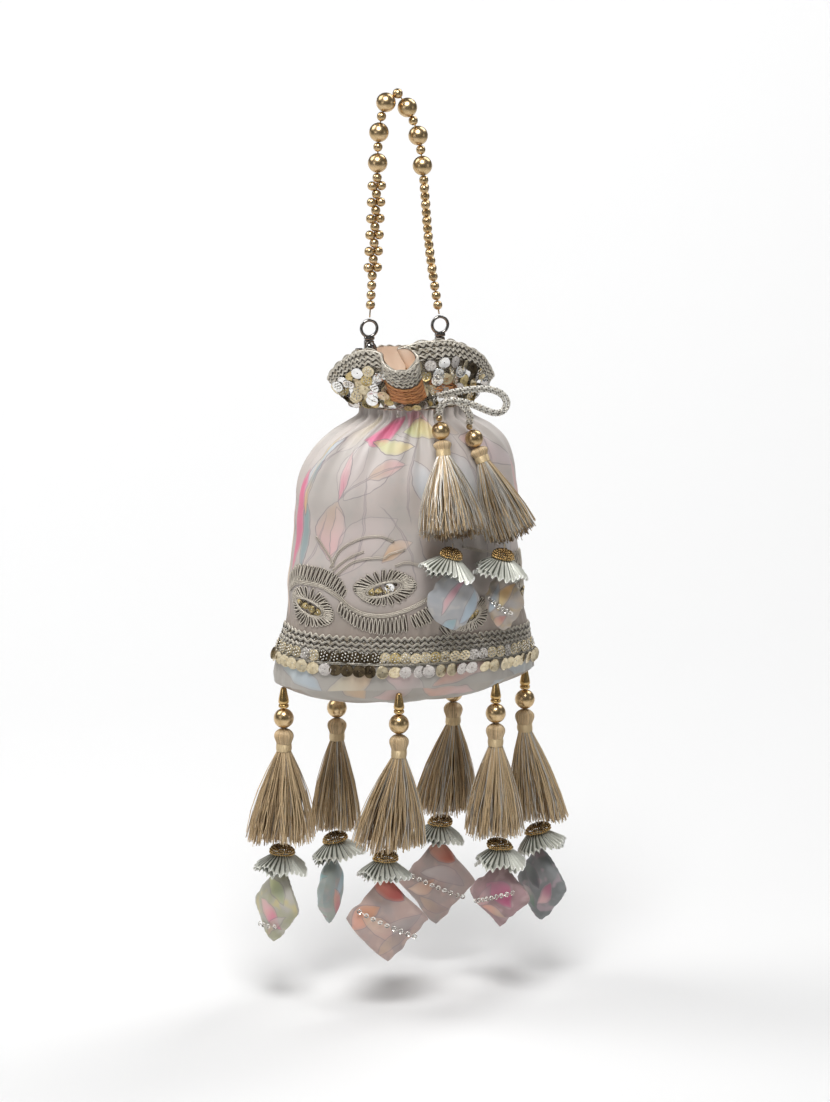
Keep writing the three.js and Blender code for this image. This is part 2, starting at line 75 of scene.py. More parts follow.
eye = bpy.data.cameras.new("eye")
eye.sensor_fit, eye.sensor_height = "VERTICAL", 36
eye.lens = eye.sensor_height * DISTANCE / SEEN_HEIGHT
camera = bpy.data.objects.new("eye", eye)
camera.location = looked_at + backwards * DISTANCE
camera.rotation_euler = backwards.to_track_quat("Z", "Y").to_euler()
scene.collection.objects.link(camera)
scene.camera = camera
print("lens", round(eye.lens, 1), "mm")

# %% [markdown]
# ## Light and ground
#
# Satin, sequins and plated beads all show their shape by what they reflect, so the light comes
# from large soft panels: one high in front, one at the left, a weaker one at the right. Two more
# light the ground behind. The ground is a pale sweep that turns up behind the bag. It ends low,
# so that the bag can also be looked at from behind.

# %% Studio
scene.view_settings.view_transform = "Standard"
world = bpy.data.worlds.new("studio")
world.use_nodes = True
world.node_tree.nodes["Background"].inputs["Color"].default_value = (1, 1, 1, 1)
world.node_tree.nodes["Background"].inputs["Strength"].default_value = 0.14
scene.world = world


def panel(name, place, size, power, aim=(0, 0, -0.3)):
    """A square soft light that faces the bag's middle, or another place."""
    lamp = bpy.data.lights.new(name, "AREA")
    lamp.size, lamp.energy = size, power
    lit = bpy.data.objects.new(name, lamp)
    lit.location = place
    lit.rotation_euler = (Vector(place) - Vector(aim)).to_track_quat("Z", "Y").to_euler()
    scene.collection.objects.link(lit)


panel("high_front", (-0.25, -0.6, 0.8), 0.55, 12.5, (0, 0, -0.2))
panel("left", (-1.4, -0.8, 0.1), 0.6, 1.6)
panel("right", (1.4, -1.1, 0.1), 0.6, 1.0)
panel("sweep_left", (-1.2, 0.7, 1.2), 1.2, 19.5, (0, 1.5, -0.3))
panel("sweep_right", (1.2, 0.7, 1.2), 1.2, 19.5, (0, 1.5, -0.3))

GROUND_Z = -0.585
sweep_line = [(-1.6, GROUND_Z), (0.8, GROUND_Z)]
sweep_line += [(0.8 + 0.8 * math.sin(a), GROUND_Z + 0.8 - 0.8 * math.cos(a))
               for a in np.linspace(0.1, math.radians(75), 12)]
ground_mesh = bpy.data.meshes.new("ground")
ground_mesh.from_pydata([(x, y, z) for y, z in sweep_line for x in (-3, 3)], [],
                        [(2 * i, 2 * i + 1, 2 * i + 3, 2 * i + 2)
                         for i in range(len(sweep_line) - 1)])
for face in ground_mesh.polygons:
    face.use_smooth = True
paper = bpy.data.materials.new("pale_paper")
paper.use_nodes = True
paper.node_tree.nodes["Principled BSDF"].inputs["Base Color"].default_value = (0.93, 0.93, 0.93, 1)
paper.node_tree.nodes["Principled BSDF"].inputs["Roughness"].default_value = 0.9
ground_mesh.materials.append(paper)
ground = bpy.data.objects.new("ground", ground_mesh)
scene.collection.objects.link(ground)

# %% [markdown]
# ## Tools for small shapes
#
# A bag like this is thousands of small things: threads, beads, discs. Each kind is gathered in a
# pile of points and faces, and the pile becomes one mesh. That keeps the file light and lets
# every thread have its own path.

# %% Piles, tubes, balls and discs
class Pile:
    """Small shapes in millimetres, gathered to become one mesh. tones holds a number a point."""

    def __init__(self):
        self.points, self.faces, self.slots, self.tones, self.count = [], [], [], [], 0

    def add(self, points, faces, slot=0, tone=0.5):
        points = np.asarray(points, float).reshape(-1, 3)
        self.points.append(points)
        self.tones.append(np.broadcast_to(np.asarray(tone, float), len(points)))
        if isinstance(faces, np.ndarray):
            faces = (faces + self.count).tolist()
        else:
            faces = [[i + self.count for i in face] for face in faces]
        self.faces += faces
        self.slots += [slot] * len(faces)
        self.count += len(points)


def make(name, pile, body, materials, cloth_map=None, drift=None):
    """The pile as one object that rides on a body. cloth_map gives each point's place in print."""
    mesh = bpy.data.meshes.new(name)
    points = np.concatenate(pile.points)
    if drift is not None:
        points = drift(points)
    mesh.from_pydata((points * MM).tolist(), [], pile.faces)
    for material in materials:
        mesh.materials.append(material)
    mesh.polygons.foreach_set("material_index", pile.slots)
    mesh.polygons.foreach_set("use_smooth", [True] * len(mesh.polygons))
    tones = mesh.attributes.new("tone", "FLOAT", "POINT")
    tones.data.foreach_set("value", np.concatenate(pile.tones))
    if cloth_map is not None:
        layer = mesh.uv_layers.new(name="cloth")
        corners = np.empty(len(mesh.loops), int)
        mesh.loops.foreach_get("vertex_index", corners)
        layer.data.foreach_set("uv", (np.asarray(cloth_map) / 100)[corners].ravel())
    mesh.update()
    piece = bpy.data.objects.new(name, mesh)
    scene.collection.objects.link(piece)
    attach(piece, body)
    return piece


# %% [markdown]
# Threads and cords are tubes. Blender could bevel a curve for each one, but thousands of curve
# objects are slow. Here a ring of points is carried along each path, and many tubes are worked
# out at once as arrays of numbers.

# %% Tubes
def unit(vectors):
    return vectors / np.maximum(np.linalg.norm(vectors, axis=-1, keepdims=True), 1e-9)


def tubes(paths, radius, sides, outward):
    """Many tubes at once: paths is (tubes, points, 3) and outward a direction off each path."""
    paths = np.asarray(paths, float)
    count, steps = paths.shape[:2]
    along = unit(np.gradient(paths, axis=1))
    across = unit(np.cross(along, outward))
    over = np.cross(across, along)
    turn = 2 * np.pi * np.arange(sides) / sides
    radius = np.broadcast_to(np.asarray(radius, float), (count, steps))[..., None, None]
    rings = paths[:, :, None] + radius * (
        np.cos(turn)[:, None] * across[:, :, None] + np.sin(turn)[:, None] * over[:, :, None])
    first = np.arange(count)[:, None, None] * steps * sides
    step = np.arange(steps - 1)[None, :, None] * sides
    side, beside = np.arange(sides), (np.arange(sides) + 1) % sides
    a, b = first + step + side, first + step + beside
    return rings.reshape(-1, 3), np.stack([a, b, b + sides, a + sides], -1).reshape(-1, 4)


def tube(line, radius, sides=8, closed=False):
    """One tube along a line of points, with its sides carried along so that it never twists."""
    line = np.asarray(line, float)
    count = len(line)
    if closed:
        along = unit(np.roll(line, -1, 0) - np.roll(line, 1, 0))
    else:
        along = unit(np.gradient(line, axis=0))
    side = np.cross(along[0], (0.31, 0.87, 0.38))
    sides_on = []
    for direction in along:
        side = side - direction * side.dot(direction)
        side = side / np.linalg.norm(side)
        sides_on.append(side)
    across = np.array(sides_on)
    over = np.cross(along, across)
    turn = 2 * np.pi * np.arange(sides) / sides
    radius = np.broadcast_to(np.asarray(radius, float), count)[:, None, None]
    rings = line[:, None] + radius * (
        np.cos(turn)[:, None] * across[:, None] + np.sin(turn)[:, None] * over[:, None])
    faces = []
    for i in range(count if closed else count - 1):
        here, there = i * sides, (i + 1) % count * sides
        faces += [[here + j, here + (j + 1) % sides, there + (j + 1) % sides, there + j]
                  for j in range(sides)]
    if not closed:
        faces += [list(range(sides))[::-1], list(range((count - 1) * sides, count * sides))]
    return rings.reshape(-1, 3), faces


# %% [markdown]
# Small beads and sequins repeat one shape many times. The shape is made once, and its copies are
# the same points moved to each place.

# %% Balls and discs
def balls(centres, radius, around=14, up=10):
    """Many round beads of one size."""
    centres = np.asarray(centres, float).reshape(-1, 3)
    turn = 2 * np.pi * np.arange(around) / around
    lift = np.pi * np.arange(1, up) / up
    ring = np.stack([np.sin(lift)[:, None] * np.cos(turn), np.sin(lift)[:, None] * np.sin(turn),
                     np.cos(lift)[:, None] * np.ones(around)], -1).reshape(-1, 3)
    shape = np.vstack([ring, [(0, 0, 1), (0, 0, -1)]])
    faces = [[r * around + j, r * around + (j + 1) % around,
              (r + 1) * around + (j + 1) % around, (r + 1) * around + j]
             for r in range(up - 2) for j in range(around)]
    top, foot, last = len(ring), len(ring) + 1, (up - 2) * around
    faces = [f[::-1] for f in faces]
    faces += [[top, j, (j + 1) % around] for j in range(around)]
    faces += [[foot, last + (j + 1) % around, last + j] for j in range(around)]
    radius = np.broadcast_to(np.asarray(radius, float), len(centres))
    points = (centres[:, None] + radius[:, None, None] * shape).reshape(-1, 3)
    return points, [[i + k * len(shape) for i in face] for k in range(len(centres))
                    for face in faces]


def discs(centres, normals, radius, cup=0.35, hole=0.55, around=14):
    """Many sequins: thin dished discs with a hole, each facing along its normal."""
    centres, normals = np.asarray(centres, float), unit(np.asarray(normals, float))
    across = unit(np.cross(normals, (0.05, 0.1, 1.0)))
    over = np.cross(normals, across)
    turn = 2 * np.pi * np.arange(around) / around
    rings = []
    radius = np.broadcast_to(np.asarray(radius, float), len(centres))
    for share, height in ((0, 0), (0.55, 0.1), (0.86, 0.7), (1, 1), (1, 0.72)):
        reach = (hole + (radius - hole) * share)[:, None, None]
        rings.append(centres[:, None] + reach * (np.cos(turn)[:, None] * across[:, None]
                     + np.sin(turn)[:, None] * over[:, None]) + cup * height * normals[:, None])
    shape = np.stack(rings, 1)
    faces = [[r * around + j, r * around + (j + 1) % around,
              (r + 1) * around + (j + 1) % around, (r + 1) * around + j]
             for r in range(4) for j in range(around)]
    size = 5 * around
    faces = np.array(faces)
    every = (faces[None] + size * np.arange(len(centres))[:, None, None]).reshape(-1, 4)
    return shape.reshape(-1, 3), every


# %% [markdown]
# Finials, beads and hook bodies are turned on a lathe, so an outline and a full turn make them.
# Routes and edges are told by a few points that a smooth curve goes through.

# %% Lathe shapes and smooth lines
def turned(outline, around=32):
    """A lathe shape: outline is (radius, height) pairs from top to bottom."""
    outline = np.asarray(outline, float)
    turn = 2 * np.pi * np.arange(around) / around
    points = np.stack([outline[:, :1] * np.cos(turn), outline[:, :1] * np.sin(turn),
                       outline[:, 1:] * np.ones(around)], -1).reshape(-1, 3)
    faces = [[r * around + j, (r + 1) * around + j,
              (r + 1) * around + (j + 1) % around, r * around + (j + 1) % around]
             for r in range(len(outline) - 1) for j in range(around)]
    return points, np.array(faces)


def smooth_line(points, steps, closed=False):
    """A smooth curve through a few points (Catmull-Rom), with steps to each stretch."""
    points = np.asarray(points, float)
    if closed:
        padded = np.vstack([points[-1:], points, points[:2]])
    else:
        padded = np.vstack([2 * points[0] - points[1], points, 2 * points[-1] - points[-2]])
    t = np.linspace(0, 1, steps, endpoint=False)[:, None]
    line = []
    for i in range(1, len(padded) - 2):
        a, b, c, d = padded[i - 1:i + 3]
        line.append(0.5 * (2 * b + (c - a) * t + (2 * a - 5 * b + 4 * c - d) * t ** 2
                           + (3 * b - a - 3 * c + d) * t ** 3))
    if not closed:
        line.append(points[-1:])
    return np.vstack(line)


def evenly(line, step):
    """The same line with points a fixed step apart."""
    line = np.asarray(line, float)
    run = np.concatenate([[0], np.cumsum(np.linalg.norm(np.diff(line, axis=0), axis=1))])
    count = max(2, int(round(run[-1] / step)) + 1)
    at = np.linspace(0, run[-1], count)
    return np.stack([np.interp(at, run, line[:, k]) for k in range(line.shape[1])], -1)


dice = random.Random(7)

# %% [markdown]
# ## Finishes
#
# Each finish is a small graph of nodes. One helper puts a node in place and sets or links its
# inputs, so that a finish reads like a recipe: first the colour, then the roughness, then the
# bump. A value that is the same everywhere goes straight on the shader.

# %% Node helpers
def new_finish(name, **constants):
    material = bpy.data.materials.new(name)
    material.use_nodes = True
    shader = material.node_tree.nodes["Principled BSDF"]
    for key, value in constants.items():
        shader.inputs[key.replace("_", " ").title().replace("Ior", "IOR")].default_value = value
    return material, material.node_tree, shader


def put(tree, kind, inputs=(), **settings):
    """A node with its settings, and its inputs set or linked. inputs maps names or numbers."""
    made = tree.nodes.new("ShaderNode" + kind)
    for key, value in settings.items():
        setattr(made, key, value)
    for key, value in dict(inputs).items():
        if isinstance(value, bpy.types.NodeSocket):
            tree.links.new(value, made.inputs[key])
        else:
            made.inputs[key].default_value = value
    return made


def math_of(tree, operation, *values):
    return put(tree, "Math", dict(enumerate(values)), operation=operation).outputs[0]


def blend_of(tree, factor, first, second):
    """A colour between two colours, each a socket or three numbers."""
    values = {0: factor}
    for key, value in ((6, first), (7, second)):
        values[key] = value if isinstance(value, bpy.types.NodeSocket) else (*value, 1)
    return put(tree, "Mix", values, data_type="RGBA").outputs[2]


def feed(shader, socket, value):
    """Joins a worked-out value to one of a finish's sockets."""
    shader.id_data.links.new(value, shader.inputs[socket])


def ramp_of(tree, value, low, high, start=0.0, end=1.0):
    """A smooth step from start to end while value goes from low to high."""
    return put(tree, "MapRange", {0: value, 1: low, 2: high, 3: start, 4: end},
               interpolation_type="SMOOTHSTEP").outputs[0]


def bump_of(tree, height, strength, distance=0.0005):
    return put(tree, "Bump", {"Height": height, "Strength": strength,
                              "Distance": distance}).outputs[0]


def noise_of(tree, vector, scale, detail=3.0):
    return put(tree, "TexNoise", {"Vector": vector, "Scale": scale,
                                  "Detail": detail}).outputs["Fac"]


def places_of(tree):
    return put(tree, "TexCoord").outputs["Object"]


def tone_of(tree):
    """The number that each point of a pile was given."""
    return put(tree, "Attribute", attribute_name="tone").outputs["Fac"]

# %% [markdown]
# ## Plated beads and clasps
#
# The beads are acrylic pearls with a matte gold coat: metallic, but with a soft highlight. The
# finials are plated and polished, and the clasps are nickel. All three share a recipe of a metal
# with faint uneven polish.

# %% Metal finishes
def plated(name, light, dark, roughness):
    finish, tree, shader = new_finish(name, metallic=1.0)
    places = places_of(tree)
    patches = noise_of(tree, places, 260, 4)
    scratches = noise_of(tree, places, 2600, 2)
    colour = blend_of(tree, ramp_of(tree, patches, 0.35, 0.7), dark, light)
    feed(shader, "Base Color", colour)
    rough = math_of(tree, "MULTIPLY_ADD", scratches, 0.12, roughness - 0.06)
    feed(shader, "Roughness", rough)
    feed(shader, "Normal", bump_of(tree, scratches, 0.05, 0.0002))
    return finish


pearl_gold = plated("pearl_gold", (0.68, 0.5, 0.29), (0.52, 0.37, 0.19), 0.28)
bright_gold = plated("bright_gold", (0.72, 0.5, 0.23), (0.55, 0.36, 0.14), 0.16)
nickel = plated("nickel", (0.38, 0.37, 0.36), (0.22, 0.21, 0.2), 0.12)

# %% [markdown]
# ## Braided metallic cord
#
# The drawstring is a limp braid of silver and pale gold threads. Its route is the cord maker's
# choice: out of the casing, round in a bow to the right, back, and down to the seed bead of the
# front tassel. The other end goes straight down to the second tassel. The yarns are laid round
# the route as four strands that cross each other.

# %% Metallic thread finish
THREAD_ROUGHNESS = 0.38


def metallic_thread(name, light, dark, gold):
    finish, tree, shader = new_finish(name, metallic=0.6)
    places = places_of(tree)
    tone = tone_of(tree)
    grain = noise_of(tree, places, 3200, 2)
    patches = noise_of(tree, places, 420, 2)
    depth = math_of(tree, "MULTIPLY_ADD", grain, 0.5, math_of(tree, "MULTIPLY", tone, 0.9))
    colour = blend_of(tree, ramp_of(tree, depth, 0.25, 0.85), dark, light)
    colour = blend_of(tree, ramp_of(tree, patches, 0.58, 0.75), colour, gold)
    feed(shader, "Base Color", colour)
    feed(shader, "Roughness", math_of(tree, "MULTIPLY_ADD", grain, 0.3, THREAD_ROUGHNESS - 0.1))
    feed(shader, "Normal", bump_of(tree, grain, 0.5, 0.0003))
    return finish


silver_braid = metallic_thread("silver_braid", (0.84, 0.81, 0.74), (0.12, 0.1, 0.08),
                               (0.6, 0.5, 0.36))

# %% The drawstring's free ends
BOW_END = [
    (17, -32.5, -186), (20, -37.5, -184.5), (26, -42, -182.5), (34, -44.5, -181.2),
    (42, -45, -181), (50, -44, -182.5), (56.5, -42, -186), (60, -41, -191.5),
    (57.5, -41.5, -196.5), (51.5, -43, -197.3), (44, -44.5, -194.5), (36.5, -46, -191),
    (29, -46.5, -188.4), (22, -45, -187.6), (17.6, -41.5, -189.6), (16.4, -38.6, -193.6),
    (16.3, -37.2, -197.6),
]
SIDE_END = [
    (22.4, -30.5, -188.5), (25.2, -35.2, -188.8), (29.5, -38.6, -190.6), (33.6, -38.8, -194.6),
    (36.6, -37.2, -199), (37.9, -34.6, -202.8), (37.7, -31.8, -205.4),
]


YARN, YARNS = 0.26, 4  # a yarn's radius in braid widths, and how many there are


def braid(pile, route, width, pitch):
    """Yarns that wind both ways round a route, in and out of each other."""
    line = evenly(route, pitch / 14)
    along = unit(np.gradient(line, axis=0))
    across = unit(np.cross(along, (0.2, 0.9, 0.4)))
    over = np.cross(along, across)
    run = np.arange(len(line)) * pitch / 14
    for k in range(YARNS):
        way = 1 if k % 2 else -1
        turn = way * 2 * np.pi * run / pitch + 2 * np.pi * k / YARNS
        reach = width * (0.5 - YARN) * (1 + 0.18 * np.sin(2 * turn * way + k))
        yarn_line = line + reach[:, None] * (np.cos(turn)[:, None] * across + np.sin(turn)[:, None]
                                             * over)
        pile.add(*tube(yarn_line, YARN * width, 6), tone=(0.15, 0.95, 0.55, 0.95)[k])


def twin_braid(pile, route, apart, width, pitch):
    """Two thin braids side by side, as the drawstring is laid double."""
    line = evenly(route, 1.0)
    across = unit(np.cross(unit(np.gradient(line, axis=0)), (0.2, 0.9, 0.4)))
    for side in (-1, 1):
        braid(pile, line + side * apart * across, width, pitch)


def length_of(line):
    return float(np.linalg.norm(np.diff(line, axis=0), axis=1).sum())


for name, route, node, far in (("bow_cord", BOW_END, "drawstring_front", "object"),
                               ("side_cord", SIDE_END, "drawstring_side", "object")):
    cord_pile = Pile()
    path = smooth_line(route, 6)
    twin_braid(cord_pile, path, 1.25, 2.3, 4.6)
    cord = make(name, cord_pile, "bag", [silver_braid])
    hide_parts(node)
    print(name, round(length_of(path)), "mm long")

# %% [markdown]
# ## The handle: beads on a wire
#
# The loop is a wire with three large beads near the top of each leg, each followed by a small
# spacer, and then a rope of pairs and singles: two small beads side by side, one across, two
# side by side. Every bead is bored, and its bore follows the wire. The beads are turned shapes
# with a small dimple at each end of the bore.

# %% Bead and wire shapes
HANG_Y = -3.5
BIG_BEAD, TOP_BEAD, SMALL_BEAD = 6.2, 3.25, 3.0
PAIR_PITCH, PAIR_SPREAD = 5.15, 3.05
LEFT_LEG = [(0, HANG_Y, 1.3), (-8, HANG_Y, -4.6), (-12.4, HANG_Y, -23.4),
            (-13.4, HANG_Y, -48), (-15.6, HANG_Y, -92), (-18.6, HANG_Y, -139)]
RIGHT_LEG = [(0, HANG_Y, 1.3), (6.4, HANG_Y, -7.8), (13.7, HANG_Y, -26.5),
             (17, HANG_Y, -52), (21, HANG_Y, -98), (27.4, HANG_Y, -139)]


def moved(points, origin, axes=np.eye(3)):
    """Points of a piece's own frame, set at origin; the rows of axes are where x, y, z go."""
    return np.asarray(points) @ np.asarray(axes) + np.asarray(origin)


def axes_along(direction):
    """A frame whose z goes along a direction."""
    z = unit(np.asarray(direction, float))
    x = unit(np.cross(z, (0.13, 0.97, 0.21)))
    return np.array([x, np.cross(z, x), z])


def bored_bead(radius, around=28, bore=0.14):
    """A round bead with dimpled ends to its bore, as a turned outline."""
    lift = np.linspace(math.asin(bore) + 0.1, math.pi - math.asin(bore) - 0.1, 12)
    outline = [(bore * radius, radius * 0.8)]
    outline += [(bore * radius * 1.05, radius * 0.955)]
    outline += [(radius * math.sin(a), radius * math.cos(a)) for a in lift]
    outline += [(bore * radius * 1.05, -radius * 0.955), (bore * radius, -radius * 0.8)]
    return turned(outline, around)


def at_distance(line, distance):
    """The point of a line at a distance along it, and the line's direction there."""
    run = np.concatenate([[0], np.cumsum(np.linalg.norm(np.diff(line, axis=0), axis=1))])
    distance = min(distance, run[-1] - 0.01)
    point = np.array([np.interp(distance, run, line[:, k]) for k in range(3)])
    ahead = np.array([np.interp(distance + 0.5, run, line[:, k]) for k in range(3)])
    behind = np.array([np.interp(distance - 0.5, run, line[:, k]) for k in range(3)])
    return point, unit(ahead - behind)

# %% Threading the beads
big_beads, small_beads, wire = Pile(), Pile(), Pile()


def thread_bead(pile, radius, point, along):
    points, faces = bored_bead(radius, 26 if radius > 4 else 14)
    lean = np.array([dice.gauss(0, 0.04) for _ in range(3)])
    pile.add(moved(points, point, axes_along(along + lean)), faces)


def thread_leg(line, first_big, pair_turn):
    distance = first_big
    for _ in range(3):
        thread_bead(big_beads, BIG_BEAD, *at_distance(line, distance))
        thread_bead(small_beads, SMALL_BEAD, *at_distance(line, distance + BIG_BEAD + SMALL_BEAD))
        distance += 2 * (BIG_BEAD + SMALL_BEAD) + 0.8
    distance += PAIR_PITCH - BIG_BEAD - SMALL_BEAD - 0.8
    for _ in range(6):
        middle, along = at_distance(line, distance)
        spread = np.array([math.cos(pair_turn), math.sin(pair_turn), 0]) * PAIR_SPREAD
        for side in (-1, 1):
            thread_bead(small_beads, SMALL_BEAD, middle + side * spread, spread / PAIR_SPREAD)
        thread_bead(small_beads, SMALL_BEAD, *at_distance(line, distance + PAIR_PITCH))
        distance += 2 * PAIR_PITCH
    for i in range(3):
        thread_bead(small_beads, SMALL_BEAD, *at_distance(line, distance + 1 + 6.2 * i))


for leg, first_big, pair_turn in ((LEFT_LEG, 9.5, 0), (RIGHT_LEG, 11, math.radians(70))):
    line = smooth_line(leg, 40)
    thread_leg(line, first_big, pair_turn)
    wire.add(*tube(evenly(line, 1.5), 0.45, 8))
thread_bead(small_beads, TOP_BEAD, np.array([0, HANG_Y, 1.3]), np.array([1.0, 0, 0]))
handle_pieces = [make("big_beads", big_beads, "handle", [pearl_gold]),
                 make("small_beads", small_beads, "handle", [pearl_gold]),
                 make("handle_wire", wire, "handle", [bright_gold])]
for piece in handle_pieces:
    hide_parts("bead_strand")
print("beads:", sum(len(p.data.polygons) for p in handle_pieces), "faces")

# %% [markdown]
# ## The clasps
#
# Each clasp is die-cast: a ring with a flat base, a rivet through the base on which the hook
# turns, the hook itself, and a spring lever with a thumb stud that shuts it. Under it is the
# bag's own wire ring, held by a folded strap of the lining satin.

# %% Clasp shapes
CLASPS = {"left": (-19, HANG_Y, -146), "right": (28, HANG_Y, -146)}
EYE_RADIUS, EYE_WIRE = 5.2, 1.0
BRIDGE_FOOT, HOOK_FLOOR, HOOK_TIP = -10.1, -27.5, -22.0
HOOK_WIRE, HOOK_WIDTH = 1.2, 3.9
STRAP_RING, STRAP_WIRE = 4.3, 0.7


BLOCK_STEPS, RING_STEPS = 12, 40


def rounded_block(size, middle, edge):
    """A box with rounded edges: a ball's points pushed out to the box's corners."""
    points, faces = balls([(0, 0, 0)], 1.0, BLOCK_STEPS * 4, BLOCK_STEPS * 2)
    half = np.asarray(size, float) / 2 - edge
    pushed = np.tanh(points * 40) * half + edge * points
    return pushed + np.asarray(middle, float), faces


def ring_line(radius, axes, middle):
    turn = 2 * np.pi * np.arange(RING_STEPS) / RING_STEPS
    flat = np.stack([radius * np.cos(turn), radius * np.sin(turn), np.zeros(RING_STEPS)], -1)
    return moved(flat, middle, axes)


for side, place in CLASPS.items():
    eye_pile, hook_pile, lever_pile, wire_ring, strap = Pile(), Pile(), Pile(), Pile(), Pile()
    upright = np.array([(1, 0, 0), (0, 0, 1), (0, 1, 0)])
    edge_on = np.array([(0, 1, 0), (0, 0, 1), (1, 0, 0)])
    eye_pile.add(*tube(moved(ring_line(EYE_RADIUS, upright, (0, 0, 0)), place), EYE_WIRE, 12, True))
    for points, faces in (
            rounded_block((6.6, 3.0, 2.2), (0, 0, -6.2), 0.7),
            turned([(0, -7), (0.9, -7), (0.9, -11), (1.7, -11), (1.7, -11.8), (1.2, -12.2),
                    (0, -12.3)], 20)):
        eye_pile.add(moved(points, place), faces)
    hook_line = smooth_line([
        (1.2, 0, BRIDGE_FOOT + 0.8), (3.4, 0, BRIDGE_FOOT - 1.6), (HOOK_WIDTH, 0, BRIDGE_FOOT - 6),
        (HOOK_WIDTH, 0, HOOK_FLOOR + 4), (2.6, 0, HOOK_FLOOR + 0.9), (0, 0, HOOK_FLOOR),
        (-2.6, 0, HOOK_FLOOR + 0.9), (-HOOK_WIDTH, 0, HOOK_FLOOR + 3.4),
        (-HOOK_WIDTH, 0, HOOK_TIP)], 6)
    hook_pile.add(*tube(moved(hook_line, place), np.linspace(1.35, 1.0, len(hook_line)), 12))
    for points, faces in (turned([(0.9, -9.2), (2.4, -9.4), (2.9, -10.6), (3.5, -12.6),
                                  (3.4, -13.4), (0.9, -13.6)], 24),
                          rounded_block((5.8, 3.2, 1.1), (-0.2, 0, -8.1), 0.4),
                          rounded_block((1.7, 2.6, 4.6), (-2.5, 0, -10.4), 0.6),
                          rounded_block((1.5, 2.6, 3.4), (2.3, 0, -9.7), 0.6)):
        hook_pile.add(moved(points, place), faces)
    for points, faces in (rounded_block((1.6, 1.9, 9.0), (-4.3, 0, -17.2), 0.6),
                          rounded_block((4.8, 1.7, 1.7), (-6.8, 0, -13.1), 0.75)):
        lever_pile.add(moved(points, place), faces)
    ring_middle = HOOK_FLOOR + HOOK_WIRE + 0.3 + STRAP_WIRE - STRAP_RING
    wire_ring.add(*tube(moved(ring_line(STRAP_RING, edge_on, (0, 0, ring_middle)), place),
                        STRAP_WIRE, 10, True))
    outwards = -1 if side == "left" else 1
    foot = ring_middle - STRAP_RING
    fold = smooth_line([(outwards * 4 + 1.0, -1.4, foot - 7), (1.5, 0, foot - 1.3),
                        (1.2, 0, foot + 1.0),
                        (0, 0, foot + 1.75), (-1.2, 0, foot + 1.0), (-1.5, 0, foot - 1.3),
                        (outwards * 4 - 1.0, 0, foot - 7)], 6)
    fold[:, 1] = 0
    for shift in np.linspace(-1.3, 1.3, 7):
        strap.add(*tube(moved(fold + (0, shift, 0), place), 0.42, 6))
    for name, pile, body, finish, node, slot in (
            ("clasp_eye", eye_pile, "handle", nickel, "swivel_ring", "nickel"),
            ("clasp_hook", hook_pile, f"hook_{side}", nickel, "snap_hook", "nickel"),
            ("clasp_lever", lever_pile, f"lever_{side}", nickel, "snap_lever", "nickel"),
            ("wire_ring", wire_ring, "bag", nickel, "anchor_ring", "nickel"),
            ("cloth_strap", strap, "bag", silver_braid, "anchor_tab", "peach_satin")):
        piece = make(f"{name}_{side}", pile, body, [finish])
        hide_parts(f"{node}_{side}")
print("clasps made")

# %% [markdown]
# ## Silk, frill and cap
#
# A tassel is a hank of thread folded over a cord and wrapped at the neck, so its skirt is many
# separate threads that hang from the wrap and spread. Silk and a few metallic yarns are mixed.
# Each thread here is a thin tube with its own small waver and its own tone, painted darker towards
# the skirt's middle as the shade inside it.

# %% Thread finishes
def silk_finish(name, light, dark, metallic, roughness):
    finish, tree, shader = new_finish(name, metallic=metallic, roughness=roughness)
    tone = tone_of(tree)
    grain = noise_of(tree, places_of(tree), 1500, 2)
    mixed = math_of(tree, "MULTIPLY_ADD", grain, 0.4, math_of(tree, "MULTIPLY", tone, 0.8))
    feed(shader, "Base Color", blend_of(tree, ramp_of(tree, mixed, 0.1, 0.95), dark, light))
    return finish


# silk_thread's dark colour is painted shade, for the threads deep inside a tassel's skirt.
silk = silk_finish("silk_thread", (0.8, 0.61, 0.37), (0.17, 0.095, 0.04), 0.12, 0.4)
lurex = silk_finish("lurex_thread", (0.95, 0.92, 0.86), (0.6, 0.53, 0.43), 0.7, 0.28)
wrap_gold = silk_finish("wrap_thread", (0.78, 0.62, 0.38), (0.5, 0.36, 0.18), 0.45, 0.38)

# %% One tassel
numbers = np.random.default_rng(11)


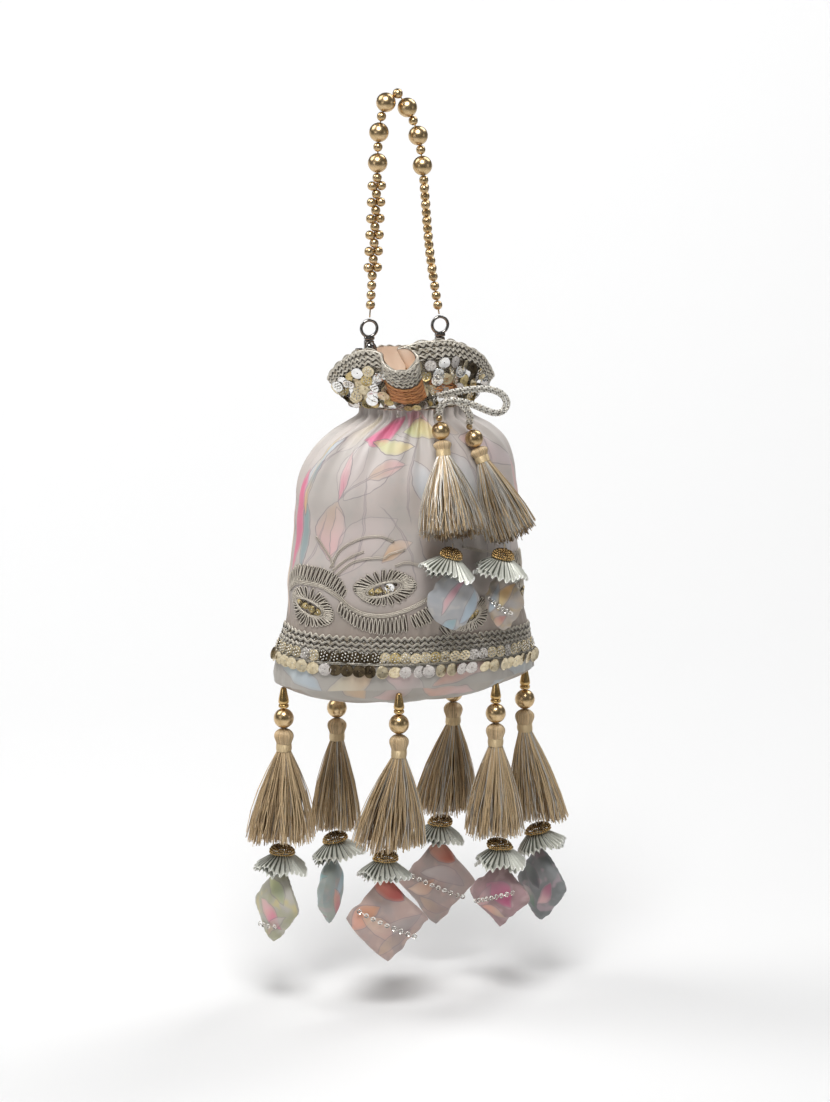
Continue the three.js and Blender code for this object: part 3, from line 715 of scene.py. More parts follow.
def silk_tassel(name, body, node, origin, axes, head_top, head, wrap, length, skirt, flat=1.0,
                drift=None, shine=0.2, under=0.8):
    """A tassel in its own frame. head is (radius, foot), wrap its lower end."""
    head_radius, head_foot = head
    neck = 0.76 * head_radius
    pile = Pile()

    def lay(points, faces, slot, tone):
        shaped = np.asarray(points) * (1, flat, 1)
        pile.add(moved(shaped, origin, axes), faces, slot, tone)

    # the folded head: threads that go over the top and down to the wrap
    count = 84
    turn = 2 * np.pi * np.arange(count) / count + numbers.normal(0, 0.02, count)
    drop = np.linspace(0, 1, 9)
    bow = np.array([0.3, 0.66, 0.88, 0.98, 1.0, 0.97, 0.9, 0.83, 0.76]) * head_radius
    paths = np.stack([np.cos(turn)[:, None] * bow, np.sin(turn)[:, None] * bow,
                      -head_top - drop * (head_foot - head_top) + 0 * turn[:, None]], -1)
    paths += numbers.normal(0, 0.06, (count, 1, 3))
    points, faces = tubes(paths, 0.29, 3, paths * (1, 1, 0) + 1e-6)
    lay(points, faces, 0, np.repeat(numbers.uniform(0.4, 1, count), 27))
    # a core, so that no light shows between them
    core = [(0.01, -head_top)] + [(0.97 * r, -head_top - d * (head_foot - head_top))
                                  for r, d in zip(bow, drop)] + [(neck * 0.9, -wrap)]
    lay(*turned(core, 24), 0, 0.3)
    # the wrap: one thread wound round the neck
    turns = int((wrap - head_foot) / 0.5)
    wind = np.linspace(0, 2 * np.pi * turns, turns * 14)
    height = -head_foot - (wrap - head_foot) * wind / wind[-1]
    bulge = neck * (1.02 + 0.05 * np.sin(np.pi * (-height - head_foot) / (wrap - head_foot)))
    lay(*tube(np.stack([bulge * np.cos(wind), bulge * np.sin(wind), height], -1), 0.32, 5), 2, 0.7)
    # the skirt
    count, steps = 620, 5
    turn = numbers.uniform(0, 2 * np.pi, count)
    depth = np.sqrt(numbers.uniform(0.05, 1, count))
    fall = np.linspace(0, 1, steps)
    spread = neck * 0.9 + (skirt * 1.08 - neck) * (0.45 * fall + 0.55 * np.sin(fall * np.pi / 2))
    reach = depth[:, None] * (spread + 0.9 * np.sin(np.pi * fall)
                              * numbers.normal(0.2, 0.6, (count, 1)))
    lean = turn[:, None] + numbers.normal(0, 0.2, (count, 1)) * fall
    lean = lean + 0.05 * np.sin(fall * 7 + numbers.uniform(0, 6, (count, 1))) * fall
    ends = length - wrap + numbers.normal(0, 1.1, count) + 1.4 * np.sin(3 * turn + 1)
    ends = ends - under * depth ** 3
    paths = np.stack([reach * np.cos(lean), reach * np.sin(lean),
                      -wrap + 0.5 - fall * ends[:, None]], -1)
    points, faces = tubes(paths, 0.27, 3, paths * (1, 1, 0) + 1e-6)
    # Each skirt thread's tone is random, and is painted darker the nearer the thread lies to the
    # skirt's middle, as the shade inside it.
    tones = np.clip(numbers.normal(0.68, 0.28, count) * (0.12 + 0.88 * depth ** 2), 0, 1)
    shiny = (numbers.uniform(0, 1, count) < shine) & (depth > 0.6)
    every = np.arange(count * (steps - 1) * 3).reshape(count, -1)
    for chosen, slot in ((~shiny, 0), (shiny, 1)):
        order = np.flatnonzero(chosen)
        picked = points.reshape(count, -1, 3)[order].reshape(-1, 3)
        one = faces.reshape(count, -1, 4)[0]
        lay(picked, (one[None] + steps * 3 * np.arange(len(order))[:, None, None]).reshape(-1, 4),
            slot, np.repeat(tones[order], steps * 3))
    piece = make(name, pile, body, [silk, lurex, wrap_gold], drift=drift)
    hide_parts(node)
    return piece

# %% [markdown]
# The frill under each tassel is a strip of organza, pleated with heat and gathered on a thread,
# so that it stands out like a little skirt. Two layers sit one in the other. A cap of small
# bronze beads covers the gathers.

# %% Organza finish
organza, tree, shader = new_finish("organza", roughness=0.42, metallic=0.25)
tone = tone_of(tree)
weave = put(tree, "TexNoise", {"Vector": places_of(tree), "Scale": 1800,
                               "Detail": 2}).outputs["Fac"]
colour = blend_of(tree, weave, (0.48, 0.49, 0.42), (0.7, 0.7, 0.64))
# Painted shade: where the tone is low, in the hollows of the pleats, the organza turns almost
# black.
colour = blend_of(tree, ramp_of(tree, tone, 0.05, 0.45), (0.07, 0.075, 0.055), colour)
colour = blend_of(tree, ramp_of(tree, tone, 0.86, 0.93), colour, (0.9, 0.9, 0.86))
feed(shader, "Base Color", colour)
feed(shader, "Normal", bump_of(tree, weave, 0.3, 0.0002))


# %% One frill and its cap of beads
def tilted(degrees):
    """Rows of axes that dip to the right, as seen from the front, by some degrees."""
    turn = Matrix.Rotation(math.radians(degrees), 3, (0.309, 0.951, 0))
    return np.array(turn).T


def pleated_frill(name, body, node, origin, axes, top, radius, seed, drift=None, tilt=0):
    shape = np.random.default_rng(seed)
    pile = Pile()
    origin, axes = np.asarray(origin) - (0, 0, top), np.asarray(axes) @ tilted(tilt)
    around, steps = 190, 8
    for layer, (size, pleats) in enumerate(((1.0, 26), (0.86, 24))):
        turn = 2 * np.pi * np.arange(around) / around
        out = np.linspace(0, 1, steps)[:, None]
        bends = sum(shape.uniform(0.4, 1) * np.sin(k * turn + shape.uniform(0, 6))
                    for k in (2, 3, 5)) / 2
        phase = pleats * turn + 0.9 * np.sin(3 * turn + layer)
        reach = radius * size * (0.3 + 0.7 * out) * (1 + 0.12 * bends * out)
        reach = reach + 0.9 * out * np.sin(phase)
        drop = 5.5 + layer * 0.9 + 9.5 * out ** 1.15 - 0.5 * out * layer
        drop = drop + out * (1.3 * np.cos(phase) + 2.9 * bends)
        grid = np.stack([reach * np.cos(turn), reach * np.sin(turn), -drop], -1).reshape(-1, 3)
        row, col = np.arange(steps - 1)[:, None] * around, np.arange(around)
        beside = (col + 1) % around
        faces = np.stack([row + col, row + beside, row + around + beside, row + around + col], -1)
        # The tone is 1 on the white edge thread. Elsewhere it follows the pleats, so that their
        # hollows get painted shade.
        pile.add(moved(grid, origin, axes), faces.reshape(-1, 4), 0,
                 np.where(out > 0.95, 1.0, 0.4 + 0.38 * np.sin(phase)).ravel())
    frill = make(name, pile, body, [organza], drift=drift)
    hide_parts(node)
    return frill


def bead_cap(name, body, origin, axes, top, radius, drift=None, tilt=0):
    pile = Pile()
    origin, axes = np.asarray(origin) - (0, 0, top), np.asarray(axes) @ tilted(tilt)
    middles, tone_and_shade, rows = [], [], 6
    for row in range(rows):
        share = row / (rows - 1)
        reach = 1.9 + (0.47 * radius - 1.9) * math.sin(share * math.pi / 2)
        height = -4.6 * (1 - math.cos(share * math.pi / 2)) - 0.3
        count = max(6, int(2 * math.pi * reach / 1.45))
        for i in range(count):
            turn = 2 * math.pi * (i + 0.5 * (row % 2)) / count
            middles.append((reach * math.cos(turn), reach * math.sin(turn),
                            height + dice.gauss(0, 0.12)))
            # The top rows, under the tassel's skirt, are painted darker as shade. The rest of each
            # bead's tone is random.
            tone_and_shade.append(0.1 + 0.6 * share ** 2 + 0.3 * dice.random())
    points, faces = balls(middles, [0.78 + dice.gauss(0, 0.04) for _ in middles], 7, 5)
    tone = np.repeat(tone_and_shade, 7 * 4 + 2)
    pile.add(moved(points, origin, axes), faces, 0, tone)
    cap = make(name, pile, body, [bronze], drift=drift)
    return cap


bronze, tree, shader = new_finish("bronze_beads", metallic=0.9, roughness=0.2)
tone = tone_of(tree)
feed(shader, "Base Color", blend_of(tree, tone, (0.12, 0.06, 0.02), (0.72, 0.5, 0.22)))
grain = noise_of(tree, places_of(tree), 1400, 2)
feed(shader, "Normal", bump_of(tree, grain, 0.3, 0.0003))

# %% [markdown]
# ## Printed satin
#
# The cloth is satin with a watercolour print: large petals and leaves in pale pink, tan, lime
# and blue, each with a thin drawn outline, on a pinkish grey ground. A petal is easy to say in
# numbers: an axis from root to tip, a half width that falls to nothing at both ends, and a bend.
# The distance to its edge gives both the fill and the drawn line. A little noise in the places
# makes the edges waver as a brush does.

# %% Print helpers
def petal(tree, spot, root, tip, width, bend=0.0):
    """Distance inside a petal's edge, and how far from root to tip, for a spot on the cloth."""
    root, tip = np.asarray(root, float), np.asarray(tip, float)
    middle, half = (root + tip) / 2, np.linalg.norm(tip - root) / 2
    angle = math.atan2(tip[1] - root[1], tip[0] - root[0])
    local = put(tree, "Mapping", {"Vector": spot, "Location": (*middle, 0),
                                  "Rotation": (0, 0, angle),
                                  "Scale": (half, width, 1)}, vector_type="TEXTURE").outputs[0]
    split = put(tree, "SeparateXYZ", {0: local})
    x, y = split.outputs[0], split.outputs[1]
    taper = math_of(tree, "SUBTRACT", 1.0, math_of(tree, "MULTIPLY", x, x))
    off_axis = math_of(tree, "ABSOLUTE", math_of(tree, "MULTIPLY_ADD", taper, -bend / width, y))
    return math_of(tree, "MULTIPLY", math_of(tree, "SUBTRACT", taper, off_axis), width), x


INK = (0.3, 0.25, 0.27)
SATIN_ROUGHNESS = 0.48


def paint_petal(tree, colour, spot, root, tip, width, bend, fill, tip_fill=None, strength=0.8,
                line=0.55):
    """The print's colour with one more petal over it."""
    inside, along = petal(tree, spot, root, tip, width, bend)
    tone = fill
    if tip_fill is not None:
        tone = blend_of(tree, ramp_of(tree, along, -0.7, 0.8), fill, tip_fill)
    wash = ramp_of(tree, inside, 0.0, 0.35 * width + 0.8, 0.55 * strength, strength)
    wash = math_of(tree, "MULTIPLY", wash, ramp_of(tree, inside, -0.15, 0.2))
    colour = blend_of(tree, wash, colour, tone)
    edge = ramp_of(tree, math_of(tree, "ABSOLUTE", inside), 0.12, 0.42, line, 0.0)
    return blend_of(tree, edge, colour, INK)


def cloth_spot(tree, waver=2.2):
    """The place on the cloth in millimetres, wavering a little."""
    flat = put(tree, "UVMap", uv_map="cloth").outputs[0]
    flat = put(tree, "VectorMath", {0: flat, 1: (100, 100, 0)}, operation="MULTIPLY").outputs[0]
    shake = put(tree, "TexNoise", {"Vector": flat, "Scale": 0.09, "Detail": 2}).outputs["Color"]
    shake = put(tree, "VectorMath", {0: shake, 1: (0.5, 0.5, 0.5)}, operation="SUBTRACT").outputs[0]
    return put(tree, "VectorMath", {0: shake, 1: (waver * 2, waver * 2, 0), 2: flat},
               operation="MULTIPLY_ADD").outputs[0]


def satin_sheen(tree, shader, spot):
    """The satin's weave: fine ribs, a soft sheen and tiny slubs."""
    ribs = put(tree, "TexWave", {"Vector": spot, "Scale": 0.9, "Distortion": 0.6, "Detail": 1},
               bands_direction="DIAGONAL").outputs["Fac"]
    slubs = put(tree, "TexNoise", {"Vector": spot, "Scale": 1.6, "Detail": 3}).outputs["Fac"]
    height = math_of(tree, "MULTIPLY_ADD", ribs, 0.3, slubs)
    feed(shader, "Normal", bump_of(tree, height, 0.25, 0.0002))
    feed(shader, "Roughness", math_of(tree, "MULTIPLY_ADD", slubs, 0.2, SATIN_ROUGHNESS - 0.1))


PINK, HOT_PINK = (0.78, 0.5, 0.5), (0.75, 0.2, 0.32)
PEACH, TAN = (0.8, 0.6, 0.47), (0.58, 0.43, 0.33)
YELLOW, LIME, BLUE = (0.8, 0.66, 0.36), (0.68, 0.7, 0.38), (0.5, 0.6, 0.68)
GREY, SALMON, ORANGE = (0.56, 0.5, 0.48), (0.8, 0.42, 0.32), (0.82, 0.5, 0.24)
GROUND = (0.53, 0.485, 0.45)

# %% [markdown]
# ## Padded charms
#
# Each charm is a square of the printed satin, doubled, stuffed and hung by one corner. The
# stuffing makes it fat in the middle, and the seam pulls little puckers in from the edges. A
# row of small silver sequins crosses the front.

# %% Charm cloth
def charm_satin(name, base, stripes, seed):
    """Satin for one charm: a ground, soft patches, and drawn lines. stripes are petals."""
    cloth, tree, shader = new_finish(name, specular_ior_level=0.3)
    spot = cloth_spot(tree, 1.6)
    moved_spot = put(tree, "VectorMath", {0: spot, 1: (seed * 13.7, seed * 7.3, 0)},
                     operation="ADD").outputs[0]
    patches = noise_of(tree, moved_spot, 0.07, 2)
    colour = blend_of(tree, ramp_of(tree, patches, 0.35, 0.65), base[0], base[1])
    colour = blend_of(tree, ramp_of(tree, noise_of(tree, moved_spot, 0.11, 1), 0.52, 0.66), colour,
                      base[2])
    for stripe in stripes:
        colour = paint_petal(tree, colour, spot, *stripe)
    feed(shader, "Base Color", colour)
    satin_sheen(tree, shader, spot)
    return cloth


def square_charm(name, body, node, origin, axes, top, half, thickness, cloth, seed, drift=None,
                 pinch=0.13):
    """A stuffed square on its corner, in its own frame: x along its diagonal."""
    shape = np.random.default_rng(seed)
    steps = 30
    u, v = np.meshgrid(np.linspace(-1, 1, steps + 1), np.linspace(-1, 1, steps + 1), indexing="ij")
    pad = np.sqrt(np.clip((1 - u ** 2) * (1 - v ** 2), 0, 1)) ** 0.8
    pucker = sum(shape.uniform(0.2, 0.5) * np.sin(k * u + shape.uniform(0, 6))
                 * np.sin(k * v * 0.7 + 1)
                 for k in (3, 5, 8))
    edge = np.maximum(abs(u), abs(v))
    seam = 0.35 * np.sin(26 * (u + v)) * edge ** 6
    draw_in = 1 - pinch * abs(abs(u) - abs(v)) * edge ** 3 - 0.09 * abs(u * v) ** 3
    ruck = 0.55 * np.sin(9 * u + 3 * v + shape.uniform(0, 6)) * edge ** 4
    crease = 0.7 * np.sin(8 * (u + 0.4 * v) + shape.uniform(0, 6)) * (1 - pad) * np.clip(v + 0.6, 0,
                                                                                         1)
    pile, maps = Pile(), []
    wave = 0.9 * np.sin(2.1 * u + shape.uniform(0, 6)) + 0.9 * np.sin(1.9 * v + shape.uniform(0, 6))
    for side in (-1, 1):
        out = side * (0.5 * thickness * pad * 0.9 + (1.15 * pucker + 1.4 * crease + seam)
                      * pad ** 0.4)
        across, down = (u - v) / 2 * half[0] * draw_in, (u + v) / 2 * half[1] * draw_in
        across, down = across + 0.25 * wave * edge + ruck, down + ruck * np.sin(5 * u)
        grid = np.stack([across, out + wave * 0.8, down - top - half[1]], -1).reshape(-1, 3)
        i, j = np.meshgrid(np.arange(steps), np.arange(steps), indexing="ij")
        a = (i * (steps + 1) + j).ravel()
        faces = np.stack([a, a + steps + 1, a + steps + 2, a + 1], -1)
        pile.add(moved(grid, origin, axes), faces if side < 0 else faces[:, ::-1])
        maps.append(np.stack([(across * side).ravel(), down.ravel()], -1))
    charm = make(name, pile, body, [cloth], cloth_map=np.concatenate(maps), drift=drift)
    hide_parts(node)
    return charm


silver_sequin, tree, shader = new_finish("silver_sequin", metallic=0.9)
glint = noise_of(tree, places_of(tree), 900, 2)
feed(shader, "Base Color", blend_of(tree, glint, (0.6, 0.56, 0.5), (0.95, 0.93, 0.88)))
feed(shader, "Roughness", math_of(tree, "MULTIPLY_ADD", glint, 0.2, 0.12))


def sequin_row(name, body, origin, axes, points, radius, drift=None):
    """Sequins sewn in a row over points (x, y, z) of a charm's own frame, facing its front."""
    pile = Pile()
    middles = np.asarray(points, float)
    normals = np.array([(dice.gauss(0, 0.18), -1, dice.gauss(0.1, 0.18)) for _ in middles])
    spots, faces = discs(middles, normals, radius, cup=0.25, hole=0.75, around=12)
    pile.add(moved(spots, origin, axes), faces)
    line = evenly(middles - (0, 0.35, 0), 1.0)
    pile.add(*tube(moved(line, origin, axes), 0.16, 5))
    return make(name, pile, body, [silver_sequin], drift=drift)

# %% [markdown]
# ## The six strands under the hem
#
# Each strand is one thread: a turned finial against the seam, a pearl ball, a tassel, a
# frill with its cap, and a charm. The strands hang almost plumb, and each has turned its own
# way, so some charms show their face and others their edge.

# %% Turned finial and ball
def finial(name, body, node, origin, axes):
    outline = [(0.8, -0.3), (1.3, -0.35), (1.75, -0.8), (2.0, -1.6), (2.45, -4), (2.95, -6.4),
               (3.3, -8.4),
               (3.42, -9.4), (3.35, -10.3), (3.0, -10.75), (2.5, -10.9), (2.45, -11.2),
               (3.05, -11.4),
               (3.35, -11.8), (3.4, -12.5), (3.3, -13.1), (2.9, -13.5), (0.8, -13.6)]
    pile = Pile()
    points, faces = turned(outline, 28)
    pile.add(moved(points, origin, axes), faces)
    piece = make(name, pile, body, [bright_gold])
    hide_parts(node)


def pearl_ball(name, body, node, origin, axes, radius, drop):
    pile = Pile()
    points, faces = bored_bead(radius, 36, 0.12)
    pile.add(moved(points + (0, 0, -drop), origin, axes), faces)
    piece = make(name, pile, body, [pearl_gold])
    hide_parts(node)


def sewing_thread(name, body, top, foot, drift=None):
    pile = Pile()
    pile.add(*tube(evenly([top, foot], 2.0), 0.28, 6))
    make(name, pile, body, [wrap_gold], drift=drift)

def row_on_charm(start, end, half, top, thickness, count):
    """Places for sequins on a charm's front, just off its padding."""
    share = np.linspace(0, 1, count)[:, None]
    across, down = (np.array(start) * (1 - share) + np.array(end) * share).T
    pad = np.sqrt(np.clip((1 - (across - down) ** 2) * (1 - (across + down) ** 2), 0, 1)) ** 0.8
    return np.stack([across * half[0], -0.45 * thickness * pad - 1.5, -top - half[1] * (1 + down)],
                    -1)

# %% What sets each strand apart
CENTRE_X, SEAM_Z = 6.0, -372.6
SEAM_OVAL = (81.7, 38)
CHARM_LOOKS = {
    "left": (((0.44, 0.43, 0.3), (0.5, 0.47, 0.42), (0.56, 0.5, 0.3)), [
        ((-10, -14), (9, 4), 6, 2, HOT_PINK, PINK),
        ((-14, 4), (8, 18), 4, 2, (0.38, 0.42, 0.28), LIME),
        ((-16, -4), (2, -20), 3, 2, GREY, TAN)]),
    "back_left": (((0.36, 0.42, 0.42), (0.4, 0.43, 0.38), (0.44, 0.42, 0.4)), [
        ((-12, 12), (6, -4), 5, 2, (0.22, 0.4, 0.42), BLUE),
        ((-6, -18), (10, 4), 5, -2, (0.6, 0.14, 0.2), SALMON)]),
    "front": (((0.52, 0.38, 0.34), (0.44, 0.36, 0.34), (0.56, 0.42, 0.37)), [
        ((-12, 13), (10, 27), 7, 2, (0.6, 0.09, 0.07), (0.66, 0.2, 0.14)),
        ((4, 10), (22, -8), 6, 3, (0.68, 0.34, 0.2), SALMON),
        ((-22, 4), (8, -6), 5, -3, (0.38, 0.33, 0.32), GREY),
        ((-4, -14), (16, 2), 6, 3, (0.62, 0.42, 0.36), PEACH),
        ((-16, -6), (6, -24), 4, 2, (0.4, 0.32, 0.3), TAN)]),
    "back_right": (((0.46, 0.35, 0.32), (0.4, 0.34, 0.32), (0.52, 0.39, 0.35)), [
        ((-12, 14), (8, 26), 6, 1, (0.6, 0.16, 0.1), SALMON),
        ((-18, -2), (12, 8), 5, 4, (0.4, 0.33, 0.33), GREY),
        ((2, 4), (20, -4), 5, -3, (0.6, 0.36, 0.26), PEACH),
        ((-8, -18), (12, -8), 4, -3, (0.38, 0.29, 0.26), TAN)]),
    "front_right": (((0.4, 0.26, 0.27), (0.33, 0.23, 0.23), (0.47, 0.33, 0.33)), [
        ((-13, -6), (6, 8), 7, 3, (0.5, 0.1, 0.22), (0.56, 0.26, 0.34)),
        ((2, 8), (15, -8), 4, -3, (0.42, 0.3, 0.32), PINK),
        ((-8, -14), (10, -8), 3, 2, TAN, SALMON)]),
    "right": (((0.2, 0.21, 0.21), (0.26, 0.27, 0.27), (0.38, 0.31, 0.33)), [
        ((-4, -2), (12, 12), 5, 2, (0.1, 0.1, 0.11), (0.26, 0.3, 0.28)),
        ((-12, 4), (-2, -12), 4, -2, (0.42, 0.14, 0.22), PINK),
        ((0, -16), (12, -2), 4, 1, (0.16, 0.24, 0.18), GREY)]),
    "pull_front": (((0.48, 0.47, 0.47), (0.42, 0.43, 0.45), (0.54, 0.52, 0.5)), [
        ((-8, 14), (8, -8), 2.6, 3, (0.56, 0.26, 0.32), PINK),
        ((-14, 8), (-4, -14), 4, -2, (0.36, 0.44, 0.5), BLUE),
        ((-2, -10), (6, -22), 4, 1, (0.3, 0.46, 0.5), BLUE)]),
    "pull_side": (((0.5, 0.42, 0.34), (0.42, 0.39, 0.37), (0.56, 0.45, 0.3)), [
        ((-8, 12), (2, -6), 4, 2, (0.62, 0.36, 0.14), YELLOW),
        ((2, 12), (9, -8), 3, -2, (0.34, 0.38, 0.42), BLUE),
        ((-4, -8), (6, -18), 3, 1, (0.5, 0.2, 0.18), PEACH)]),
}
STRANDS = {  # place round the seam, drop, skirt radius, way faced, charm's half sizes, frill's tilt
    "left": (180, 0, 22, -66, (24.5, 27), 3), "back_left": (244, 5, 16.5, 63, (22, 25.5), -12),
    "front": (101.5, 0, 23, -18, (29, 32), 2), "back_right": (302, 0, 20.5, -12, (28, 32), 4),
    "front_right": (51, 0, 18.5, -55, (25, 24), 2), "right": (0, 0, 18.5, -62, (23, 27.5), -14),
}
SEQUIN_ROWS = {  # from and to, across and down from the charm's middle in half sizes
    "left": ((-0.35, 0.5), (0.3, 0.44)), "front": ((-0.6, -0.2), (0.62, 0.32)),
    "back_right": ((-0.6, -0.18), (0.6, 0.3)), "front_right": ((-0.58, 0.24), (0.58, -0.2)),
}
DRIFT_DEPTHS = (40, 100, 112, 142, 175)
DRIFTS = {  # how far a strand has drifted to the right at those depths under its sewing point
    "left": (0, -2.4, -1, -5, -8), "back_left": (0, -1.4, -2.7, -4.8, -6),
          "front": (0, -7, -9, -8, -8),
    "back_right": (0, -5.6, -9, -10.4, -11), "front_right": (0, -0.5, 4.4, 3, 3),
    "right": (0, 10.4, 7.2, 12, 13),
}
RIGHTWARDS = np.array([0.951, -0.309, 0])


def drifting(origin, amounts):
    """A strand that doesn't hang quite plumb: it drifts sideways as it goes down."""
    return lambda points: points + np.interp(origin[2] - points[:, 2], DRIFT_DEPTHS,
                                             amounts)[:, None] * RIGHTWARDS


def turned_round(degrees):
    c, s = math.cos(math.radians(degrees)), math.sin(math.radians(degrees))
    return np.array([(c, s, 0), (-s, c, 0), (0, 0, 1)])


# %% [markdown]
# All six strands are threaded in the same order, so one loop makes them. What differs is told in
# the tables above: where it is sewn on, how far its skirt spreads, and how its charm is turned.

# %% The strands
SEAM_GAP = 2.4  # the sewing point is this far under the seam
PEARL_RADIUS, PEARL_DROP = 6.5, 20.6
FRILL_TOP, FRILL_RADIUS = 104.6, 16.5
CHARM_TOP, CHARM_THICKNESS = 117.6, 16
THREAD_JOIN = 101  # where the charm's thread takes over from the tassel's

for seed, (name, (place, drop, skirt, facing, half, tilt)) in enumerate(STRANDS.items()):
    a = math.radians(place)
    origin = np.array([CENTRE_X + SEAM_OVAL[0] * math.cos(a), -SEAM_OVAL[1] * math.sin(a),
                       SEAM_Z - SEAM_GAP - drop])
    axes = turned_round(facing)
    body, low, drift = f"strand_{name}", f"charm_body_{name}", drifting(origin, DRIFTS[name])
    finial(f"gold_finial_{name}", body, f"finial_{name}", origin, axes)
    pearl_ball(f"pearl_ball_{name}", body, f"ball_{name}", origin, axes, PEARL_RADIUS, PEARL_DROP)
    silk_tassel(f"silk_tassel_{name}", body, f"tassel_{name}", origin, axes,
                27.6, (6, 37), 42, 100, skirt, drift=drift)
    pleated_frill(f"pleated_frill_{name}", low, f"frill_{name}", origin, axes, FRILL_TOP,
                  FRILL_RADIUS, seed, drift,
                  tilt)
    bead_cap(f"cap_beads_{name}", low, origin, axes, FRILL_TOP, FRILL_RADIUS, drift, tilt)
    sewing_thread(f"thread_{name}", body, origin + (0, 0, 3), origin - (0, 0, THREAD_JOIN), drift)
    sewing_thread(f"charm_thread_{name}", low, origin - (0, 0, THREAD_JOIN),
                  origin - (0, 0, CHARM_TOP + 1.4), drift)
    base, stripes = CHARM_LOOKS[name]
    cloth = charm_satin(f"charm_satin_{name}", base, stripes, seed)
    square_charm(f"padded_charm_{name}", low, f"charm_{name}", origin, axes, CHARM_TOP, half,
                 CHARM_THICKNESS, cloth, seed,
                 drift, 0.0 if abs(facing) > 60 else 0.08)
    if name in SEQUIN_ROWS:
        row = row_on_charm(*SEQUIN_ROWS[name], half, CHARM_TOP, CHARM_THICKNESS,
                           4 if name == "left" else 9)
        sequin_row(f"charm_sequins_{name}", low, origin, axes, row, 1.7, drift)
print("six strands made")

# %% [markdown]
# The two tassels on the drawstring lie against the bag, so they are flattened and lean out over
# its shoulder. Their charms hang plumb below them.

# %% The drawstring's tassels
PULLS = {
    "pull_front": ((16.3, -37, -198.6), (18.3, -61.5, -273.1), 21.5, (17.6, -61, -277.5), -8,
                   (18.5, 21.5), 14),
    "pull_side": ((37.9, -31.5, -206.2), (62.5, -48, -277.5), 17, (54.5, -53, -282), -40,
                  (13.5, 21), 10),
}
# %% Threading the drawstring's tassels
PULL_CHARM_TOP, PULL_CHARM_THICKNESS = 13.4, 15

for seed, (name, (top, foot, skirt, hang, facing, half, tilt)) in enumerate(PULLS.items(), 20):
    down = Vector(foot) - Vector(top)
    lean = Vector((0, 0, -1)).rotation_difference(down)
    leaning = np.array([lean @ Vector(axis) for axis in ((1, 0, 0), (0, 1, 0), (0, 0, 1))])
    axes, low = turned_round(facing), f"charm_body_{name}"
    pearl_ball(f"pearl_ball_{name}", name, f"ball_{name}", top, leaning, 5.8, 9.2)
    seed_bead = Pile()
    points, faces = bored_bead(2.0, 18)
    seed_bead.add(moved(points + (0, 0, -1.2), top, leaning), faces)
    make(f"seed_bead_{name}", seed_bead, "bag", [pearl_gold])
    silk_tassel(f"silk_tassel_{name}", name, f"tassel_{name}", top, leaning,
                15.4, (5.6, 21), 25, 77, skirt, flat=0.66, shine=0.5, under=4.5)
    pleated_frill(f"pleated_frill_{name}", low, f"frill_{name}", hang, axes, 1.2, 17, seed,
                  tilt=tilt)
    bead_cap(f"cap_beads_{name}", low, hang, axes, 1.2, 14.5, tilt=tilt)
    sewing_thread(f"charm_thread_{name}", low, np.array(hang) + (0, 0, 2),
                  np.array(hang) - (0, 0, 15))
    base, stripes = CHARM_LOOKS[name]
    cloth = charm_satin(f"charm_satin_{name}", base, stripes, seed)
    square_charm(f"padded_charm_{name}", low, f"charm_{name}", hang, axes, PULL_CHARM_TOP, half,
                 PULL_CHARM_THICKNESS, cloth, seed,
                 pinch=-0.14)
    if name == "pull_side":
        row = row_on_charm((-0.5, -0.1), (0.5, 0.3), half, PULL_CHARM_TOP, PULL_CHARM_THICKNESS, 7)
        sequin_row(f"charm_sequins_{name}", low, hang, axes, row, 1.6)
print("drawstring tassels made")

# %% [markdown]
# ## The pouch
#
# The pouch is two panels of satin, front and back, joined by side seams. Its neck is gathered
# by the drawstring, so pleats start at the casing and die out over the shoulder. Below that the
# cloth is held out by its lining and hangs in soft dents. A spot on the cloth is named by how
# far it is round the bag from the front's middle, and by its height.

# %% Where a spot of the cloth is
NECK_Z = -196.0
OVALS = [(NECK_Z, 33, 25.5), (-202, 34, 26), (-207, 42, 29), (-213, 52.5, 32.5), (-224, 63.5, 37.5),
         (-243, 72, 41.5), (-275, 75, 44), (-313, 77.4, 44.5), (-332, 79.5, 44), (-348, 83.5, 43),
         (-364, 86.3, 41.5), (SEAM_Z, 86, 40)]
oval_table = smooth_line(OVALS, 10)[::-1]
ROUND = (78.0, 44.0)  # the oval that distances round the bag are told on
turn_table = np.linspace(-math.pi, math.pi, 1441)
stretch = np.hypot(ROUND[0] * np.cos(turn_table), ROUND[1] * np.sin(turn_table))
round_table = np.concatenate([[0], np.cumsum((stretch[1:] + stretch[:-1]) / 2
                                             * np.diff(turn_table))])
round_table -= np.interp(0, turn_table, round_table)
SIDE_SEAM = float(np.interp(math.pi / 2, turn_table, round_table))


